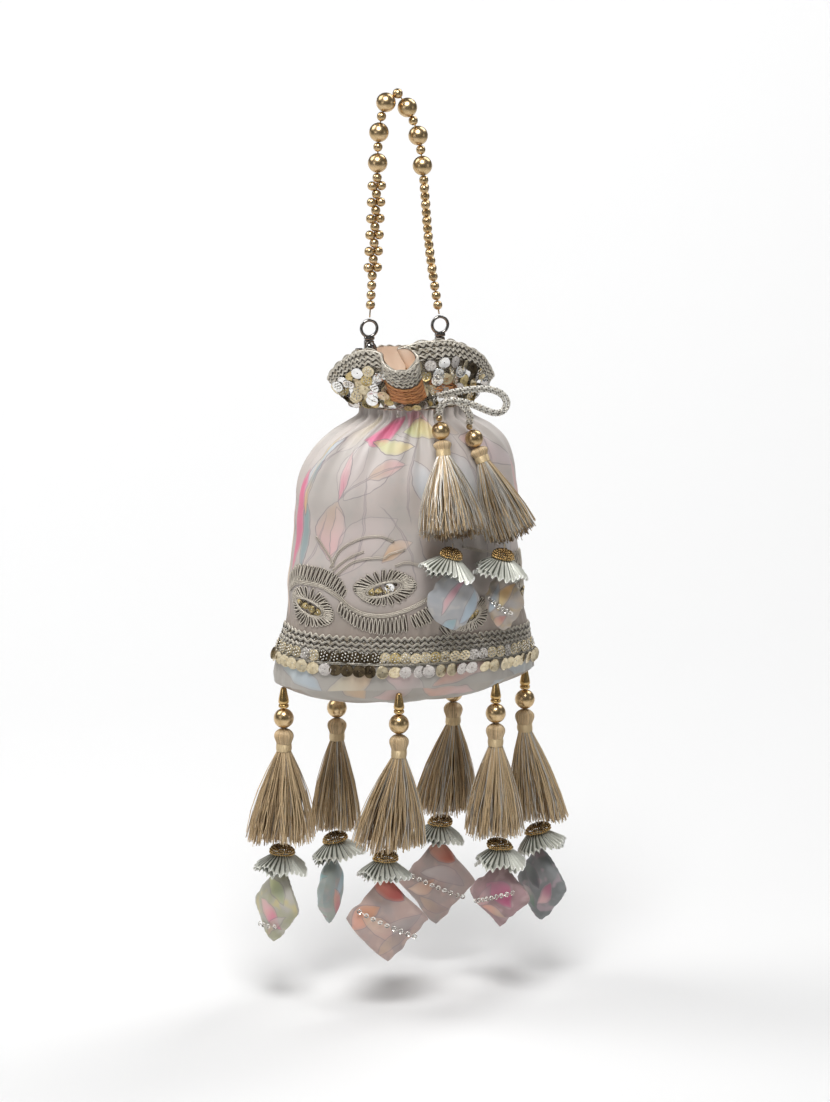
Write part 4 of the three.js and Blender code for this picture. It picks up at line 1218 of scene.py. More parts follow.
def creases(turn, z):
    """How far the cloth stands out from its plain oval, in millimetres."""
    below = np.clip(NECK_Z - 10 - z, 0, None)
    pleats = np.sin(34 * turn + 2.4 * np.sin(3 * turn + 1) + 1.2 * np.sin(7 * turn))
    folds = np.sin(13 * turn + 1.7 * np.sin(2 * turn + 0.6) + 0.006 * below)
    rays = np.sin(21 * turn + 1.1 * np.sin(4 * turn) - 0.01 * below)
    height = 1.7 * pleats * np.exp(-below / 18) + 2.1 * folds * np.exp(-(below / 48) ** 1.6) * (
        1 - 0.5 * np.exp(-below / 10)) + 0.9 * rays * np.exp(-((below - 22) / 26) ** 2)
    dents = (np.sin(2.3 * turn + 0.051 * z + 1) * np.sin(0.043 * z - 1.7 * turn)
             + 0.7 * np.sin(5.1 * turn - 0.06 * z + 2) * np.sin(0.09 * z + 2.9 * turn + 0.4)
             + 0.35 * np.sin(9 * turn + 0.13 * z) * np.sin(0.17 * z - 6 * turn))
    height = height + 1.15 * dents * np.clip(below / 50, 0, 1)
    hem_pull = np.exp(-((z + 333) / 9) ** 2)
    height = height + 0.35 * hem_pull * np.sin(58 * turn + 3 * np.sin(4 * turn))
    under_hem = np.clip((-352 - z) / 14, 0, 1)
    height = height + under_hem * (1.2 * np.sin(11 * turn + 1.5 * np.sin(3 * turn)) + 0.5
                                   * np.sin(31 * turn))
    seam = np.minimum(abs(turn - math.pi / 2), abs(turn + math.pi / 2)) * 30
    return height - 0.9 * np.exp(-(seam / 0.9) ** 2)


def middle_at(z):
    """Where the pouch's middle is at a height: its neck leans a little to the right."""
    return CENTRE_X + np.interp(z, (-300, -250, -235, -225, NECK_Z), (0, 1.2, 2.4, 4, 5.5))


def bag_point(s, z, lift=0.0):
    """A spot on the pouch: s round from the front's middle, z its height, lift off the cloth."""
    s, z = np.broadcast_arrays(np.asarray(s, float), np.asarray(z, float))
    turn = np.interp(s, round_table, turn_table)
    half = [np.interp(z, oval_table[:, 0], oval_table[:, k]) for k in (1, 2)]
    out = creases(turn, z) + lift - 0.4
    return np.stack([middle_at(z) + (half[0] + out) * np.sin(turn), -(half[1] + out) * np.cos(turn),
                     z], -1)


def out_of_bag(s, z):
    """The way the cloth faces at a spot."""
    step = 0.4
    s, z = np.asarray(s, float), np.asarray(z, float)
    across = bag_point(s + step, z) - bag_point(s - step, z)
    up = bag_point(s, z + step) - bag_point(s, z - step)
    return unit(np.cross(across, up))


def grid_faces(rows, columns):
    i, j = np.meshgrid(np.arange(rows - 1), np.arange(columns - 1), indexing="ij")
    a = (i * columns + j).ravel()
    return np.stack([a, a + columns, a + columns + 1, a + 1], -1)


print("side seams at", round(SIDE_SEAM), "mm round from the front's middle")

# %% Printed satin of the pouch
# petals: root, tip, half width, bend, colour at the root, colour at the tip, strength, drawn line
PETALS = [
    ((-52, -214), (-59, -248), 9, -3, (0.74, 0.66, 0.64), (0.7, 0.6, 0.58), 0.35, 0.6),
    ((-18, -214), (-56, -250), 17, -9, (0.74, 0.68, 0.66), (0.76, 0.68, 0.65), 0.4, 0.7),
    ((-44, -237), (-18, -228), 5.5, 2.5, TAN, PINK, 0.75, 0.6),
    ((-63, -219), (-60, -250), 3.4, 2.4, PINK, HOT_PINK, 0.55, 0.7),
    ((-60, -250), (-65, -288), 9.5, -3.5, TAN, PINK, 0.65, 0.7),
    ((-61, -254), (-66, -286), 5, 3.5, (0.75, 0.6, 0.58), PINK, 0.5, 0.6),
    ((-86, -208), (-85, -252), 3, 1.5, YELLOW, ORANGE, 0.8, 0.5),
    ((-77, -212), (-87, -258), 4, -3, BLUE, (0.62, 0.66, 0.7), 0.6, 0.8),
    ((-90, -232), (-96, -300), 7, 1, HOT_PINK, (0.7, 0.2, 0.3), 0.9, 0.3),
    ((-84, -246), (-86, -300), 3.4, 2, (0.24, 0.36, 0.36), (0.3, 0.38, 0.4), 0.8, 0.8),
    ((-79, -226), (-84, -262), 3, -2, (0.3, 0.42, 0.44), ORANGE, 0.8, 0.8),
    ((-30, -199), (-58, -214), 7.5, 3, HOT_PINK, (0.75, 0.22, 0.36), 0.95, 0.3),
    ((-30, -197), (6, -205), 7, -2, (0.62, 0.3, 0.36), PINK, 0.8, 0.3),
    ((10, -198), (34, -212), 7, 2, (0.5, 0.46, 0.4), (0.62, 0.5, 0.4), 0.6, 0.4),
    ((-66, -200), (-76, -222), 7, 2, (0.7, 0.62, 0.46), (0.66, 0.6, 0.56), 0.6, 0.4),
    ((-50, -214), (-12, -218), 4, -1.5, LIME, YELLOW, 0.8, 0.8),
    ((-26, -209), (14, -211), 6, 3, LIME, YELLOW, 0.85, 0.6),
    ((-12, -226), (0, -256), 7.5, 3, (0.66, 0.7, 0.74), BLUE, 0.5, 0.7),
    ((10, -222), (34, -262), 11, 5, (0.7, 0.7, 0.72), (0.6, 0.66, 0.7), 0.45, 0.7),
    ((2, -256), (12, -300), 8, -3, (0.7, 0.62, 0.6), PEACH, 0.4, 0.6),
    ((-30, -290), (-10, -277), 5, 2.5, ORANGE, PEACH, 0.55, 0.5),
    ((-60, -300), (-20, -262), 12, 7, (0.68, 0.56, 0.54), (0.72, 0.62, 0.6), 0.4, 0.5),
    ((30, -214), (74, -236), 8, 4, PINK, (0.7, 0.6, 0.62), 0.5, 0.7),
    ((40, -226), (80, -268), 8, -5, (0.72, 0.64, 0.6), PEACH, 0.45, 0.7),
    ((52, -250), (66, -300), 9, 4, BLUE, (0.66, 0.68, 0.7), 0.45, 0.7),
    ((78, -224), (92, -290), 6, 3, PINK, SALMON, 0.55, 0.6),
    ((90, -250), (96, -330), 4, -2, YELLOW, PEACH, 0.6, 0.5),
    ((-92, -300), (-70, -330), 8, 3, (0.6, 0.58, 0.58), GREY, 0.35, 0.4),
    ((-97, -356), (-60, -372), 7, 3, (0.55, 0.64, 0.66), BLUE, 0.6, 0.5),
    ((-58, -374), (-30, -356), 8, -3, (0.8, 0.7, 0.5), ORANGE, 0.45, 0.5),
    ((-26, -360), (0, -380), 7, 3, PINK, GREY, 0.5, 0.5),
    ((4, -372), (44, -360), 6, 3, SALMON, PINK, 0.5, 0.5),
    ((50, -358), (92, -374), 7, -2, BLUE, (0.6, 0.62, 0.6), 0.5, 0.5),
]
STEMS = [((-44.4, -237), (-47.9, -290), 0.7, 3.2), ((-59, -249), (-18, -229), 0.7, 4.5),
         ((-74.4, -220), (-83, -250), 0.6, -2.2), ((-10, -214), (-12, -262), 0.6, -3),
         ((24, -212), (46, -300), 0.7, 6), ((6, -214), (22, -248), 0.6, 3),
         ((-70, -262), (-86, -300), 0.6, 3), ((60, -214), (56, -262), 0.6, -3),
         ((-30, -256), (-8, -300), 0.6, 5)]


def printed_satin(name):
    cloth, tree, shader = new_finish(name, specular_ior_level=0.3)
    spot = cloth_spot(tree)
    broad = put(tree, "TexNoise", {"Vector": spot, "Scale": 0.035, "Detail": 2}).outputs["Fac"]
    small = put(tree, "TexNoise", {"Vector": spot, "Scale": 0.12, "Detail": 3}).outputs["Fac"]
    colour = blend_of(tree, ramp_of(tree, broad, 0.36, 0.62), GROUND, (0.58, 0.51, 0.475))
    colour = blend_of(tree, ramp_of(tree, small, 0.5, 0.75, 0, 0.4), colour, (0.46, 0.45, 0.43))
    height = put(tree, "SeparateXYZ", {0: spot}).outputs[1]
    # Painted light: the ground turns lighter towards the top, over the shoulders, where the light
    # from above falls most.
    colour = blend_of(tree, ramp_of(tree, height, -250, -215, 0, 0.45), colour, (0.68, 0.64, 0.61))
    # Painted shade: the ground turns darker and browner towards the hem.
    colour = blend_of(tree, ramp_of(tree, height, -335, -300, 0.75, 0), colour, (0.3, 0.245, 0.2))
    # Under the hem the ground turns a plain darker grey.
    colour = blend_of(tree, ramp_of(tree, height, -354, -345, 1, 0), colour, (0.46, 0.43, 0.39))
    for root, tip, width, bend, fill, tip_fill, strength, line in PETALS:
        colour = paint_petal(tree, colour, spot, root, tip, width, bend, fill, tip_fill, strength,
                             line)
    for root, tip, width, bend in STEMS:
        colour = paint_petal(tree, colour, spot, root, tip, width, bend, (0.5, 0.42, 0.42), None,
                             0.4, 0.5)
    feed(shader, "Base Color", colour)
    satin_sheen(tree, shader, spot)
    return cloth


pouch_satin = printed_satin("printed_satin")
print("petals:", len(PETALS), "stems:", len(STEMS))

# %% The two panels
ROWS, COLUMNS = 104, 194
heights = np.concatenate([np.linspace(NECK_Z, -230, 38, endpoint=False),
                          np.linspace(-230, SEAM_Z, ROWS - 38)])
for side, start in (("front", -SIDE_SEAM), ("back", SIDE_SEAM)):
    distances = start + np.linspace(0, 2 * SIDE_SEAM, COLUMNS)
    wrapped = (distances + 2 * SIDE_SEAM) % (4 * SIDE_SEAM) - 2 * SIDE_SEAM
    s, z = np.meshgrid(wrapped, heights)
    on_cloth = np.stack([np.meshgrid(distances - start - SIDE_SEAM, heights)[0], z], -1)
    pile = Pile()
    pile.add(bag_point(s, z), grid_faces(ROWS, COLUMNS))
    make(f"printed_{side}", pile, "bag", [pouch_satin],
                        cloth_map=on_cloth.reshape(-1, 2))
    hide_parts(f"pouch_{side}")

# %% [markdown]
# ## The base and the lining
#
# The bottom is an oval of the same satin, sagging a little under its own filling and puckered
# where it meets the body's seam. Inside is a pouch of plain peach satin.

# %% Base and lining
RINGS, AROUND = 20, 220
turn = np.linspace(-math.pi, math.pi, AROUND)
out = np.linspace(1, 0.001, RINGS)[:, None]
edge = 4 * (1 - out) * np.sin(29 * turn + 2 * np.sin(5 * turn)) * np.exp(-((1 - out) / 0.13) ** 2)
sag = -16 * (1 - out ** 2.6) + edge + 0.5 * np.sin(7 * turn) * out * (1 - out) * 4
rim = bag_point(np.interp(turn, turn_table, round_table), np.full(AROUND, SEAM_Z))
swell = 1 + 0.03 * np.sin(np.clip((1 - out) * 9, 0, math.pi))
base_grid = np.stack([CENTRE_X + (rim[:, 0] - CENTRE_X) * out * swell, rim[:, 1] * out * swell,
                      SEAM_Z + sag + 0 * turn], -1)
pile = Pile()
pile.add(base_grid, grid_faces(RINGS, AROUND))
base = make("pouch_base", pile, "bag", [pouch_satin],
            cloth_map=np.stack([base_grid[..., 0], base_grid[..., 1] - 330], -1).reshape(-1, 2))
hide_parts("base_panel")

peach, tree, shader = new_finish("peach_satin", specular_ior_level=0.4)
spot = places_of(tree)
soft = noise_of(tree, spot, 60, 3)
feed(shader, "Base Color", blend_of(tree, soft, (0.8, 0.58, 0.43), (0.92, 0.75, 0.6)))
feed(shader, "Roughness", math_of(tree, "MULTIPLY_ADD", noise_of(tree, spot, 900), 0.2, 0.32))
feed(shader, "Normal", bump_of(tree, noise_of(tree, spot, 500, 4), 0.25, 0.0005))

lining_heights = np.linspace(NECK_Z, -362, 34)
s, z = np.meshgrid(np.linspace(-2 * SIDE_SEAM, 2 * SIDE_SEAM, 180), lining_heights)
wall = bag_point(s, z, -3.4 - 1.6 * np.exp((z - NECK_Z) / 10))
floor = [wall[-1] * (k, k, 1) + (CENTRE_X * (1 - k), 0, -6 * (1 - k))
         for k in (0.9, 0.66, 0.33, 0.002)]
pile = Pile()
pile.add(np.concatenate([wall, floor]), grid_faces(38, 180))
lining = make("peach_lining", pile, "bag", [peach])
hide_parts("lining")

# %% The drawstring inside the casing
pile = Pile()
turn = np.linspace(0, 2 * math.pi, 80, endpoint=False)
casing_line = np.stack([middle_at(-200) + 29.6 * np.sin(turn), -22 * np.cos(turn),
                        np.full(80, -200.5)], -1)
pile.add(*tube(casing_line, 1.5, 8, True))
hidden = make("cord_in_casing", pile, "bag", [silver_braid])
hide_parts("drawstring_in_casing")

# %% [markdown]
# ## The ruffled collar
#
# Above the casing the cloth runs on as a ruffle. It leaves the neck in tight gathers, leans out
# and droops at both sides. At the front one fold has rolled into a small tube that shows the
# peach lining in its mouth. The edge of the ruffle is told by where each part of the neck's
# gathers ends up.

# %% Where a spot of the collar is
NECK = (33.0, 25.5)
COLLAR_EDGE = [  # neck angle from the front's middle, then where the edge is
    (-90, -45, -1, -176.5), (-74, -44, -12, -167.5), (-60, -38.5, -20, -160),
               (-46, -30, -27, -155.5),
    (-37, -21, -33, -157), (-30, -21.5, -40, -161), (-22, -18, -45, -165), (-13, -10, -46, -167),
    (-5, -3, -43, -164.5), (-1, 1.5, -37, -160), (4, -2, -32, -156), (9, -8.5, -30, -155.5),
    (14, -5, -27, -155.5), (22, 5, -28.5, -152.5), (31, 15.5, -30, -151.5), (43, 28, -28, -152.5),
    (58, 42.5, -20, -159), (74, 56.5, -10, -168.5), (90, 65, 0, -180), (108, 58, 14, -173),
    (130, 43, 26, -168), (150, 26.5, 33, -166.5), (170, 11, 36, -165), (187, 0, 34, -164.5),
    (206, -11, 29, -166.5), (226, -23, 20, -169), (248, -36, 9, -172.5)]
looped = ([(a - 360, *p) for a, *p in COLLAR_EDGE[-3:]] + COLLAR_EDGE
          + [(a + 360, *p) for a, *p in COLLAR_EDGE[:3]])
edge_table = smooth_line(looped, 16)


def collar_point(angle, rise, lift=0.0):
    """A spot on the collar: angle in degrees round the neck, rise from neck 0 to edge 1."""
    angle, rise = np.broadcast_arrays(np.asarray(angle, float), np.asarray(rise, float))
    folded = (angle + 90) % 360 - 90
    edge = np.stack([np.interp(folded, edge_table[:, 0], edge_table[:, k]) for k in (1, 2, 3)], -1)
    a = np.radians(angle)
    outward = unit(np.stack([NECK[1] * np.sin(a), -NECK[0] * np.cos(a), 0 * a], -1))
    neck = np.stack([middle_at(NECK_Z) + NECK[0] * np.sin(a), -NECK[1] * np.cos(a), 0 * a + NECK_Z],
                    -1)
    knee = 0.45 * neck + 0.55 * edge + outward * 3
    knee[..., 2] = neck[..., 2] + 0.42 * (edge[..., 2] - neck[..., 2])
    t = rise[..., None]
    spot = (1 - t) ** 2 * neck + 2 * t * (1 - t) * knee + t ** 2 * edge
    gathers = 1.2 * np.clip(1 - t, 0, 1) ** 1.3 * np.sin(np.radians(31 * angle) + 1.4
                                                         * np.sin(3 * a))[..., None]
    ripple = 0.9 * np.sin(np.pi * t * 0.8) * np.sin(12 * a + 1.1 * np.sin(2 * a))[..., None]
    spot = spot + outward * (gathers + ripple)
    if np.ndim(lift) == 0 and lift == 0:
        return spot
    return spot + out_of_collar(angle, rise) * np.asarray(lift, float)[..., None]


def out_of_collar(angle, rise):
    across = collar_point(angle + 0.7, rise) - collar_point(angle - 0.7, rise)
    up = collar_point(angle, rise + 0.015) - collar_point(angle, rise - 0.015)
    return unit(np.cross(across, up))


# %% Collar cloth, outside and inside
collar_satin, tree, shader = new_finish("collar_satin", specular_ior_level=0.3)
spot = places_of(tree)
patches = noise_of(tree, spot, 55, 3)
colour = blend_of(tree, ramp_of(tree, patches, 0.42, 0.6), (0.16, 0.135, 0.115), (0.5, 0.3, 0.2))
colour = blend_of(tree, ramp_of(tree, noise_of(tree, spot, 90, 2), 0.55, 0.7), colour,
                  (0.4, 0.36, 0.31))
feed(shader, "Base Color", colour)
feed(shader, "Roughness", math_of(tree, "MULTIPLY_ADD", patches, 0.2, 0.35))
feed(shader, "Normal", bump_of(tree, noise_of(tree, spot, 1400, 3), 0.4, 0.0004))

angles, rises = np.meshgrid(np.linspace(-90, 270, 430), np.linspace(0, 1, 24))
for name, lift, finish, slot in (("collar_cloth", 0.0, collar_satin, "printed_satin"),
                                 ("collar_lining", -0.9, peach, "peach_satin")):
    pile = Pile()
    grid = collar_point(angles, rises, lift)
    pile.add(grid, grid_faces(24, 430)[:, ::-1] if lift else grid_faces(24, 430))
    piece = make(name, pile, "bag", [finish])
    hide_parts("collar")
print("collar made")

# %% [markdown]
# ## Braids, sequins and small beads
#
# Every trim is laid on one of two surfaces, the pouch or the collar, so the tools take the
# surface as an argument. A rickrack is a few fine cords that wave side by side. A sequin is
# sewn flat, or hangs by its hole. The cloth's own dents then carry the trim with them.

# %% Trim finishes
braid_grey = metallic_thread("braid_grey", (0.74, 0.69, 0.6), (0.05, 0.04, 0.03),
                             (0.46, 0.38, 0.26))
couched = silk_finish("couched_cord", (0.66, 0.6, 0.51), (0.06, 0.042, 0.028), 0.3, 0.42)
orange_cord = silk_finish("orange_cord", (0.72, 0.34, 0.14), (0.36, 0.13, 0.05), 0.3, 0.45)


def sequin_finish(name, light, dark, roughness, metallic=0.85):
    finish, tree, shader = new_finish(name, metallic=metallic)
    patches = noise_of(tree, places_of(tree), 420, 2)
    feed(shader, "Base Color", blend_of(tree, ramp_of(tree, patches, 0.3, 0.7), dark, light))
    feed(shader, "Roughness", math_of(tree, "MULTIPLY_ADD", patches, 0.2, roughness - 0.1))
    feed(shader, "Normal", bump_of(tree, noise_of(tree, places_of(tree), 260, 1), 0.25, 0.001))
    return finish


CHAMPAGNE, DARK, SILVER, GOLD = 0, 2, 3, 4  # places in the list below; 1 is the pale one
sequin_finishes = [
    sequin_finish("champagne_sequin", (0.8, 0.7, 0.5), (0.56, 0.46, 0.29), 0.3),
    sequin_finish("pale_sequin", (0.7, 0.66, 0.62), (0.5, 0.46, 0.43), 0.28),
    sequin_finish("dark_sequin", (0.12, 0.09, 0.05), (0.05, 0.035, 0.02), 0.3),
    sequin_finish("mirror_sequin", (0.95, 0.94, 0.92), (0.8, 0.79, 0.77), 0.12, 1.0),
    sequin_finish("gold_sequin", (0.66, 0.53, 0.28), (0.42, 0.32, 0.14), 0.28, 0.95),
]
glass, tree, shader = new_finish("glass_bead", roughness=0.15, metallic=0.55)
cloud = noise_of(tree, places_of(tree), 700, 1)
feed(shader, "Base Color", blend_of(tree, cloud, (0.62, 0.58, 0.5), (0.95, 0.93, 0.88)))

net_cloth, tree, shader = new_finish("gold_net", roughness=0.5, metallic=0.35)
cells = put(tree, "TexVoronoi", {"Vector": places_of(tree), "Scale": 800.0},
            feature="DISTANCE_TO_EDGE").outputs[0]
strand = ramp_of(tree, cells, 0.05, 0.2)
feed(shader, "Base Color", blend_of(tree, strand, (0.36, 0.31, 0.23), (0.045, 0.036, 0.026)))
feed(shader, "Normal", bump_of(tree, strand, 0.6, 0.0004))

# %% Laying cords and sequins
def laid_cord(pile, surface, u, v, radius, lift, tone=0.5, closed=False, sides=4):
    line = surface(np.asarray(u, float), np.asarray(v, float), np.full(np.shape(u), float(lift)))
    pile.add(*tube(line, radius, sides, closed), tone=tone)


def rickrack(pile, surface, u, v, wave, length, gap, radius, lift, phase=0.0,
             shades=(0.15, 0.6, 0.95)):
    """Three cords that wave side by side round a closed line. wave and gap are in v's unit."""
    count = max(1, round((u[-1] - u[0]) / length))
    swing = 2 * np.pi * count * (u - u[0]) / (u[-1] - u[0]) + phase
    uneven = np.interp(np.arange(len(u)), np.arange(0, len(u), 6),
                       numbers.normal(0, 0.2, -(-len(u) // 6)))
    for k in (-1, 0, 1):
        sway = wave * (np.sin(swing + 0.25 * k) + uneven) + gap * k
        laid_cord(pile, surface, u[:-1], (v + sway)[:-1], radius, lift + 0.25 * (k == 0),
                  shades[k + 1], True)


def sewn_sequins(pile, surface, facing, u, v, radius, lift, kinds, tilt=0.12, hang=0.0):
    """Sequins at u, v. kinds gives each its finish; hang swings the lower edge outwards."""
    u, v = np.asarray(u, float), np.asarray(v, float)
    normals = facing(u, v) + numbers.normal(0, tilt, (len(u), 3)) - (0, 0, hang)
    middles = surface(u, v, lift + numbers.uniform(0, 0.3, len(u)))
    kinds = np.asarray(kinds)
    for kind in np.unique(kinds):
        here = kinds == kind
        points, faces = discs(middles[here], normals[here], radius, 0.3, 0.4,
                              16 if radius > 2.5 else 10)
        pile.add(points, faces, int(kind), 0.5)
    return middles, unit(normals)


def strip(pile, surface, u, low, high, rows, lift):
    """A band of cloth laid on a surface, between two edges told along u."""
    share = np.linspace(0, 1, rows)[:, None]
    spots = surface(u + 0 * share, low + (high - low) * share, np.full((rows, len(u)), float(lift)))
    pile.add(spots, grid_faces(rows, len(u)))


ROSETTE_BEADS = 6


def rosettes(pile, middles, normals, reach, bead):
    """Small beads sewn on each sequin: one in its hole and a ring of them."""
    across = unit(np.cross(normals, (0.05, 0.1, 1.0)))
    over = np.cross(normals, across)
    spots = [middles + 0.5 * normals]
    for k in range(ROSETTE_BEADS):
        a = 2 * math.pi * k / ROSETTE_BEADS + 0.3
        spots.append(middles + 0.5 * normals + reach * (math.cos(a) * across + math.sin(a) * over))
    pile.add(*balls(np.concatenate(spots), bead, 5, 4))

# %% [markdown]
# The hem's trim goes round the whole pouch. A dark net backs it. From the top it has three
# rows of rickrack with tiny beads among them, a row of sequins with beads sewn on, thin cords,
# and a row of sequins that hang free by their upper edge. It was sewn on a little lower at the
# right side than at the left.

# %% The hem
HEM_LINE = [(-2 * SIDE_SEAM, -341), (-SIDE_SEAM, -336.5), (-60, -339), (-10, -341.3), (40, -342.3),
            (SIDE_SEAM, -345), (2 * SIDE_SEAM, -341)]
hem_s, hem_line_z = np.transpose(HEM_LINE)


def hem_z(s):
    return np.interp(s, hem_s, hem_line_z)


round_hem = np.linspace(-2 * SIDE_SEAM, 2 * SIDE_SEAM, 801)
HEM_SHADES = (0.05, 0.35, 0.7)
braids, beads, hanging = Pile(), Pile(), Pile()
rickrack(braids, bag_point, round_hem, hem_z(round_hem) + 1.2, 0.9, 4.2, 0.95, 0.48, 0.8, 0.0,
         HEM_SHADES)
rickrack(braids, bag_point, round_hem, hem_z(round_hem) - 2.6, 0.8, 5.0, 0.9, 0.44, 0.8, 2.6,
         HEM_SHADES)
rickrack(braids, bag_point, round_hem, hem_z(round_hem) - 5.8, 0.7, 3.8, 0.8, 0.4, 0.8, 1.2,
         HEM_SHADES)
hem_net = Pile()
strip(hem_net, bag_point, round_hem, hem_z(round_hem) - 16, hem_z(round_hem) + 1.6, 8, 0.6)
for drop, radius, lift in ((-6.9, 0.35, 0.7), (-14.6, 0.42, 1.0), (-15.5, 0.3, 0.9)):
    laid_cord(braids, bag_point, round_hem[:-1:2], hem_z(round_hem)[:-1:2] + drop, radius, lift,
              0.5, True)
net = []
for row, drop in enumerate((-0.6, -4.3, -7.2, -7.9, -13.4)):
    at = np.arange(-2 * SIDE_SEAM, 2 * SIDE_SEAM, 2.3) + 1.1 * (row % 2)
    net.append(bag_point(at, hem_z(at) + drop + numbers.normal(0, 0.25, len(at)), 0.75 + 0 * at))
beads.add(*balls(np.concatenate(net), 0.55, 5, 4))


def kinds_round(s, shares):
    """Finishes drawn by lot, with the dark patch left of the middle."""
    kinds = numbers.choice(5, len(s), p=shares)
    return np.where((s > -62) & (s < -28) & (numbers.uniform(0, 1, len(s)) < 0.85), DARK, kinds)


at = np.arange(-2 * SIDE_SEAM, 2 * SIDE_SEAM - 4, 6.1)
flat_sequins = sewn_sequins(hanging, bag_point, out_of_bag, at, hem_z(at) - 10.7, 3.75, 0.9,
                            kinds_round(at, (0.7, 0.08, 0, 0, 0.22)), 0.06)
rosettes(beads, *flat_sequins, 2.1, 0.62)
at = np.arange(-2 * SIDE_SEAM, 2 * SIDE_SEAM - 4, 6.8)
at = at + numbers.uniform(-0.9, 0.9, len(at))
low = hem_z(at) - np.interp(at, (-98, -30, 98), (17.6, 19.6, 19.2))
kinds = kinds_round(at, (0.66, 0.26, 0.02, 0, 0.06))
sewn_sequins(hanging, bag_point, out_of_bag, at, low, 4.2, 1.6, kinds, 0.12, 0.12)
holders = np.stack([bag_point(at, low + 5.2, 1.2 + 0 * at), bag_point(at, low + 2.6, 2.0 + 0 * at)],
                   1)
beads.add(*tubes(holders, 0.2, 4, out_of_bag(at, low)[:, None] + 0 * holders))
for name, pile, finishes in (("hem_braid", braids, [braid_grey]), ("hem_beads", beads, [glass]),
                             ("hem_net", hem_net, [net_cloth]),
                             ("hem_sequins", hanging, sequin_finishes)):
    piece = make(name, pile, "bag", finishes)
    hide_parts("hem_trim")
print("hem sequins:", len(flat_sequins[0]) + len(at))

# %% [markdown]
# The collar's trims follow its edge: three rows of braid, with two more on the rolled fold, then
# rows of round sequins over a dark net, and pieces of a woven orange band over the gathers.

# %% The collar's trims
def out_of_collar_flat(u, v):
    return out_of_collar(np.asarray(u, float), np.asarray(v, float))


round_neck = np.linspace(-90, 270, 801)
braids, beads, discs_pile, woven = Pile(), Pile(), Pile(), Pile()
level = np.ones_like(round_neck)
for row, rise in enumerate((0.96, 0.885, 0.815)):
    rickrack(braids, collar_point, round_neck, rise * level, 0.02, 3.7 + 0.5 * row, 0.016, 0.5,
             0.85, 1.7 * row)
tube_run = np.linspace(-38, 8, 240)
for row, rise in enumerate((0.745, 0.675)):
    for k in (-1, 0, 1):
        sway = 0.018 * np.sin(np.radians(tube_run * 95) + 1.7 * row + 0.25 * k) + 0.016 * k
        laid_cord(braids, collar_point, tube_run, rise + sway, 0.5, 0.85, (0.15, 0.6, 0.95)[k + 1])
rim_net = Pile()
strip(rim_net, collar_point, round_neck, 0.02 * level, 0.99 * level, 15, 0.5)
for rise, radius in ((0.995, 0.6), (0.92, 0.35), (0.85, 0.35), (0.775, 0.45), (0.06, 0.5)):
    laid_cord(braids, collar_point, round_neck[:-1:2], rise * level[:-1:2], radius, 0.6, 0.7, True)
scallop = 0.035 * abs(np.sin(np.radians(round_neck) * 360 / 9.5 / 2))
laid_cord(braids, collar_point, round_neck[:-1], (0.985 + scallop)[:-1], 0.5, 0.1, 0.4, True)
for row, rise in enumerate((0.7, 0.58, 0.46, 0.33, 0.2)):
    at = np.arange(-90, 262, 8.8) + 4 * (row % 2)
    at = (at + numbers.normal(0, 0.8, len(at)))[(at < -36) | (at > 6)]
    kinds = numbers.choice(5, len(at), p=(0.34, 0.16, 0.03, 0.3, 0.17))
    middles, normals = sewn_sequins(discs_pile, collar_point, out_of_collar_flat, at,
                                    rise + numbers.normal(0, 0.015, len(at)), 3.9, 1.3, kinds, 0.2)
    some = numbers.uniform(0, 1, len(at)) < 0.55
    rosettes(beads, middles[some], normals[some], 1.9, 0.5)
at = np.arange(-90, 262, 9.0)
sewn_sequins(discs_pile, collar_point, out_of_collar_flat, at, 0.14 + 0 * at, 2.9, 1.2,
             numbers.choice(5, len(at), p=(0.35, 0.15, 0.05, 0.2, 0.25)), 0.2)
for first, last, low, high in ((-38, 8, 0.26, 0.62), (20, 44, 0.3, 0.5), (150, 178, 0.3, 0.5)):
    run = np.linspace(first, last, 4 * (last - first))
    for k, rise in enumerate(np.arange(low, high, 0.031)):
        sway = 0.007 * np.sin(np.radians(run * 60 + 180 * k))
        laid_cord(woven, collar_point, run, rise + sway, 0.62, 0.9, 0.25 + 0.3 * (k % 3))
for name, pile, finishes in (("rim_braid", braids, [braid_grey]), ("rim_beads", beads, [glass]),
                             ("rim_sequins", discs_pile, sequin_finishes),
                             ("woven_band", woven, [orange_cord]),
                             ("rim_net", rim_net, [net_cloth])):
    piece = make(name, pile, "bag", finishes)
    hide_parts("rim_trim")
print("collar trims made")

# %% [markdown]
# ## Embroidered leaves
#
# The leaves above the hem are couched cord. The cord runs out and back in narrow loops between
# two lines, an inner one along the leaf's rib and an outer one along its edge. Around an eye of
# sequins the two lines are closed. Stems are three cords side by side.

# %% Couched loops
LOOP_CORD, LOOP_FILL, SHADE_THREAD = 0.4, 0.8, 0.42


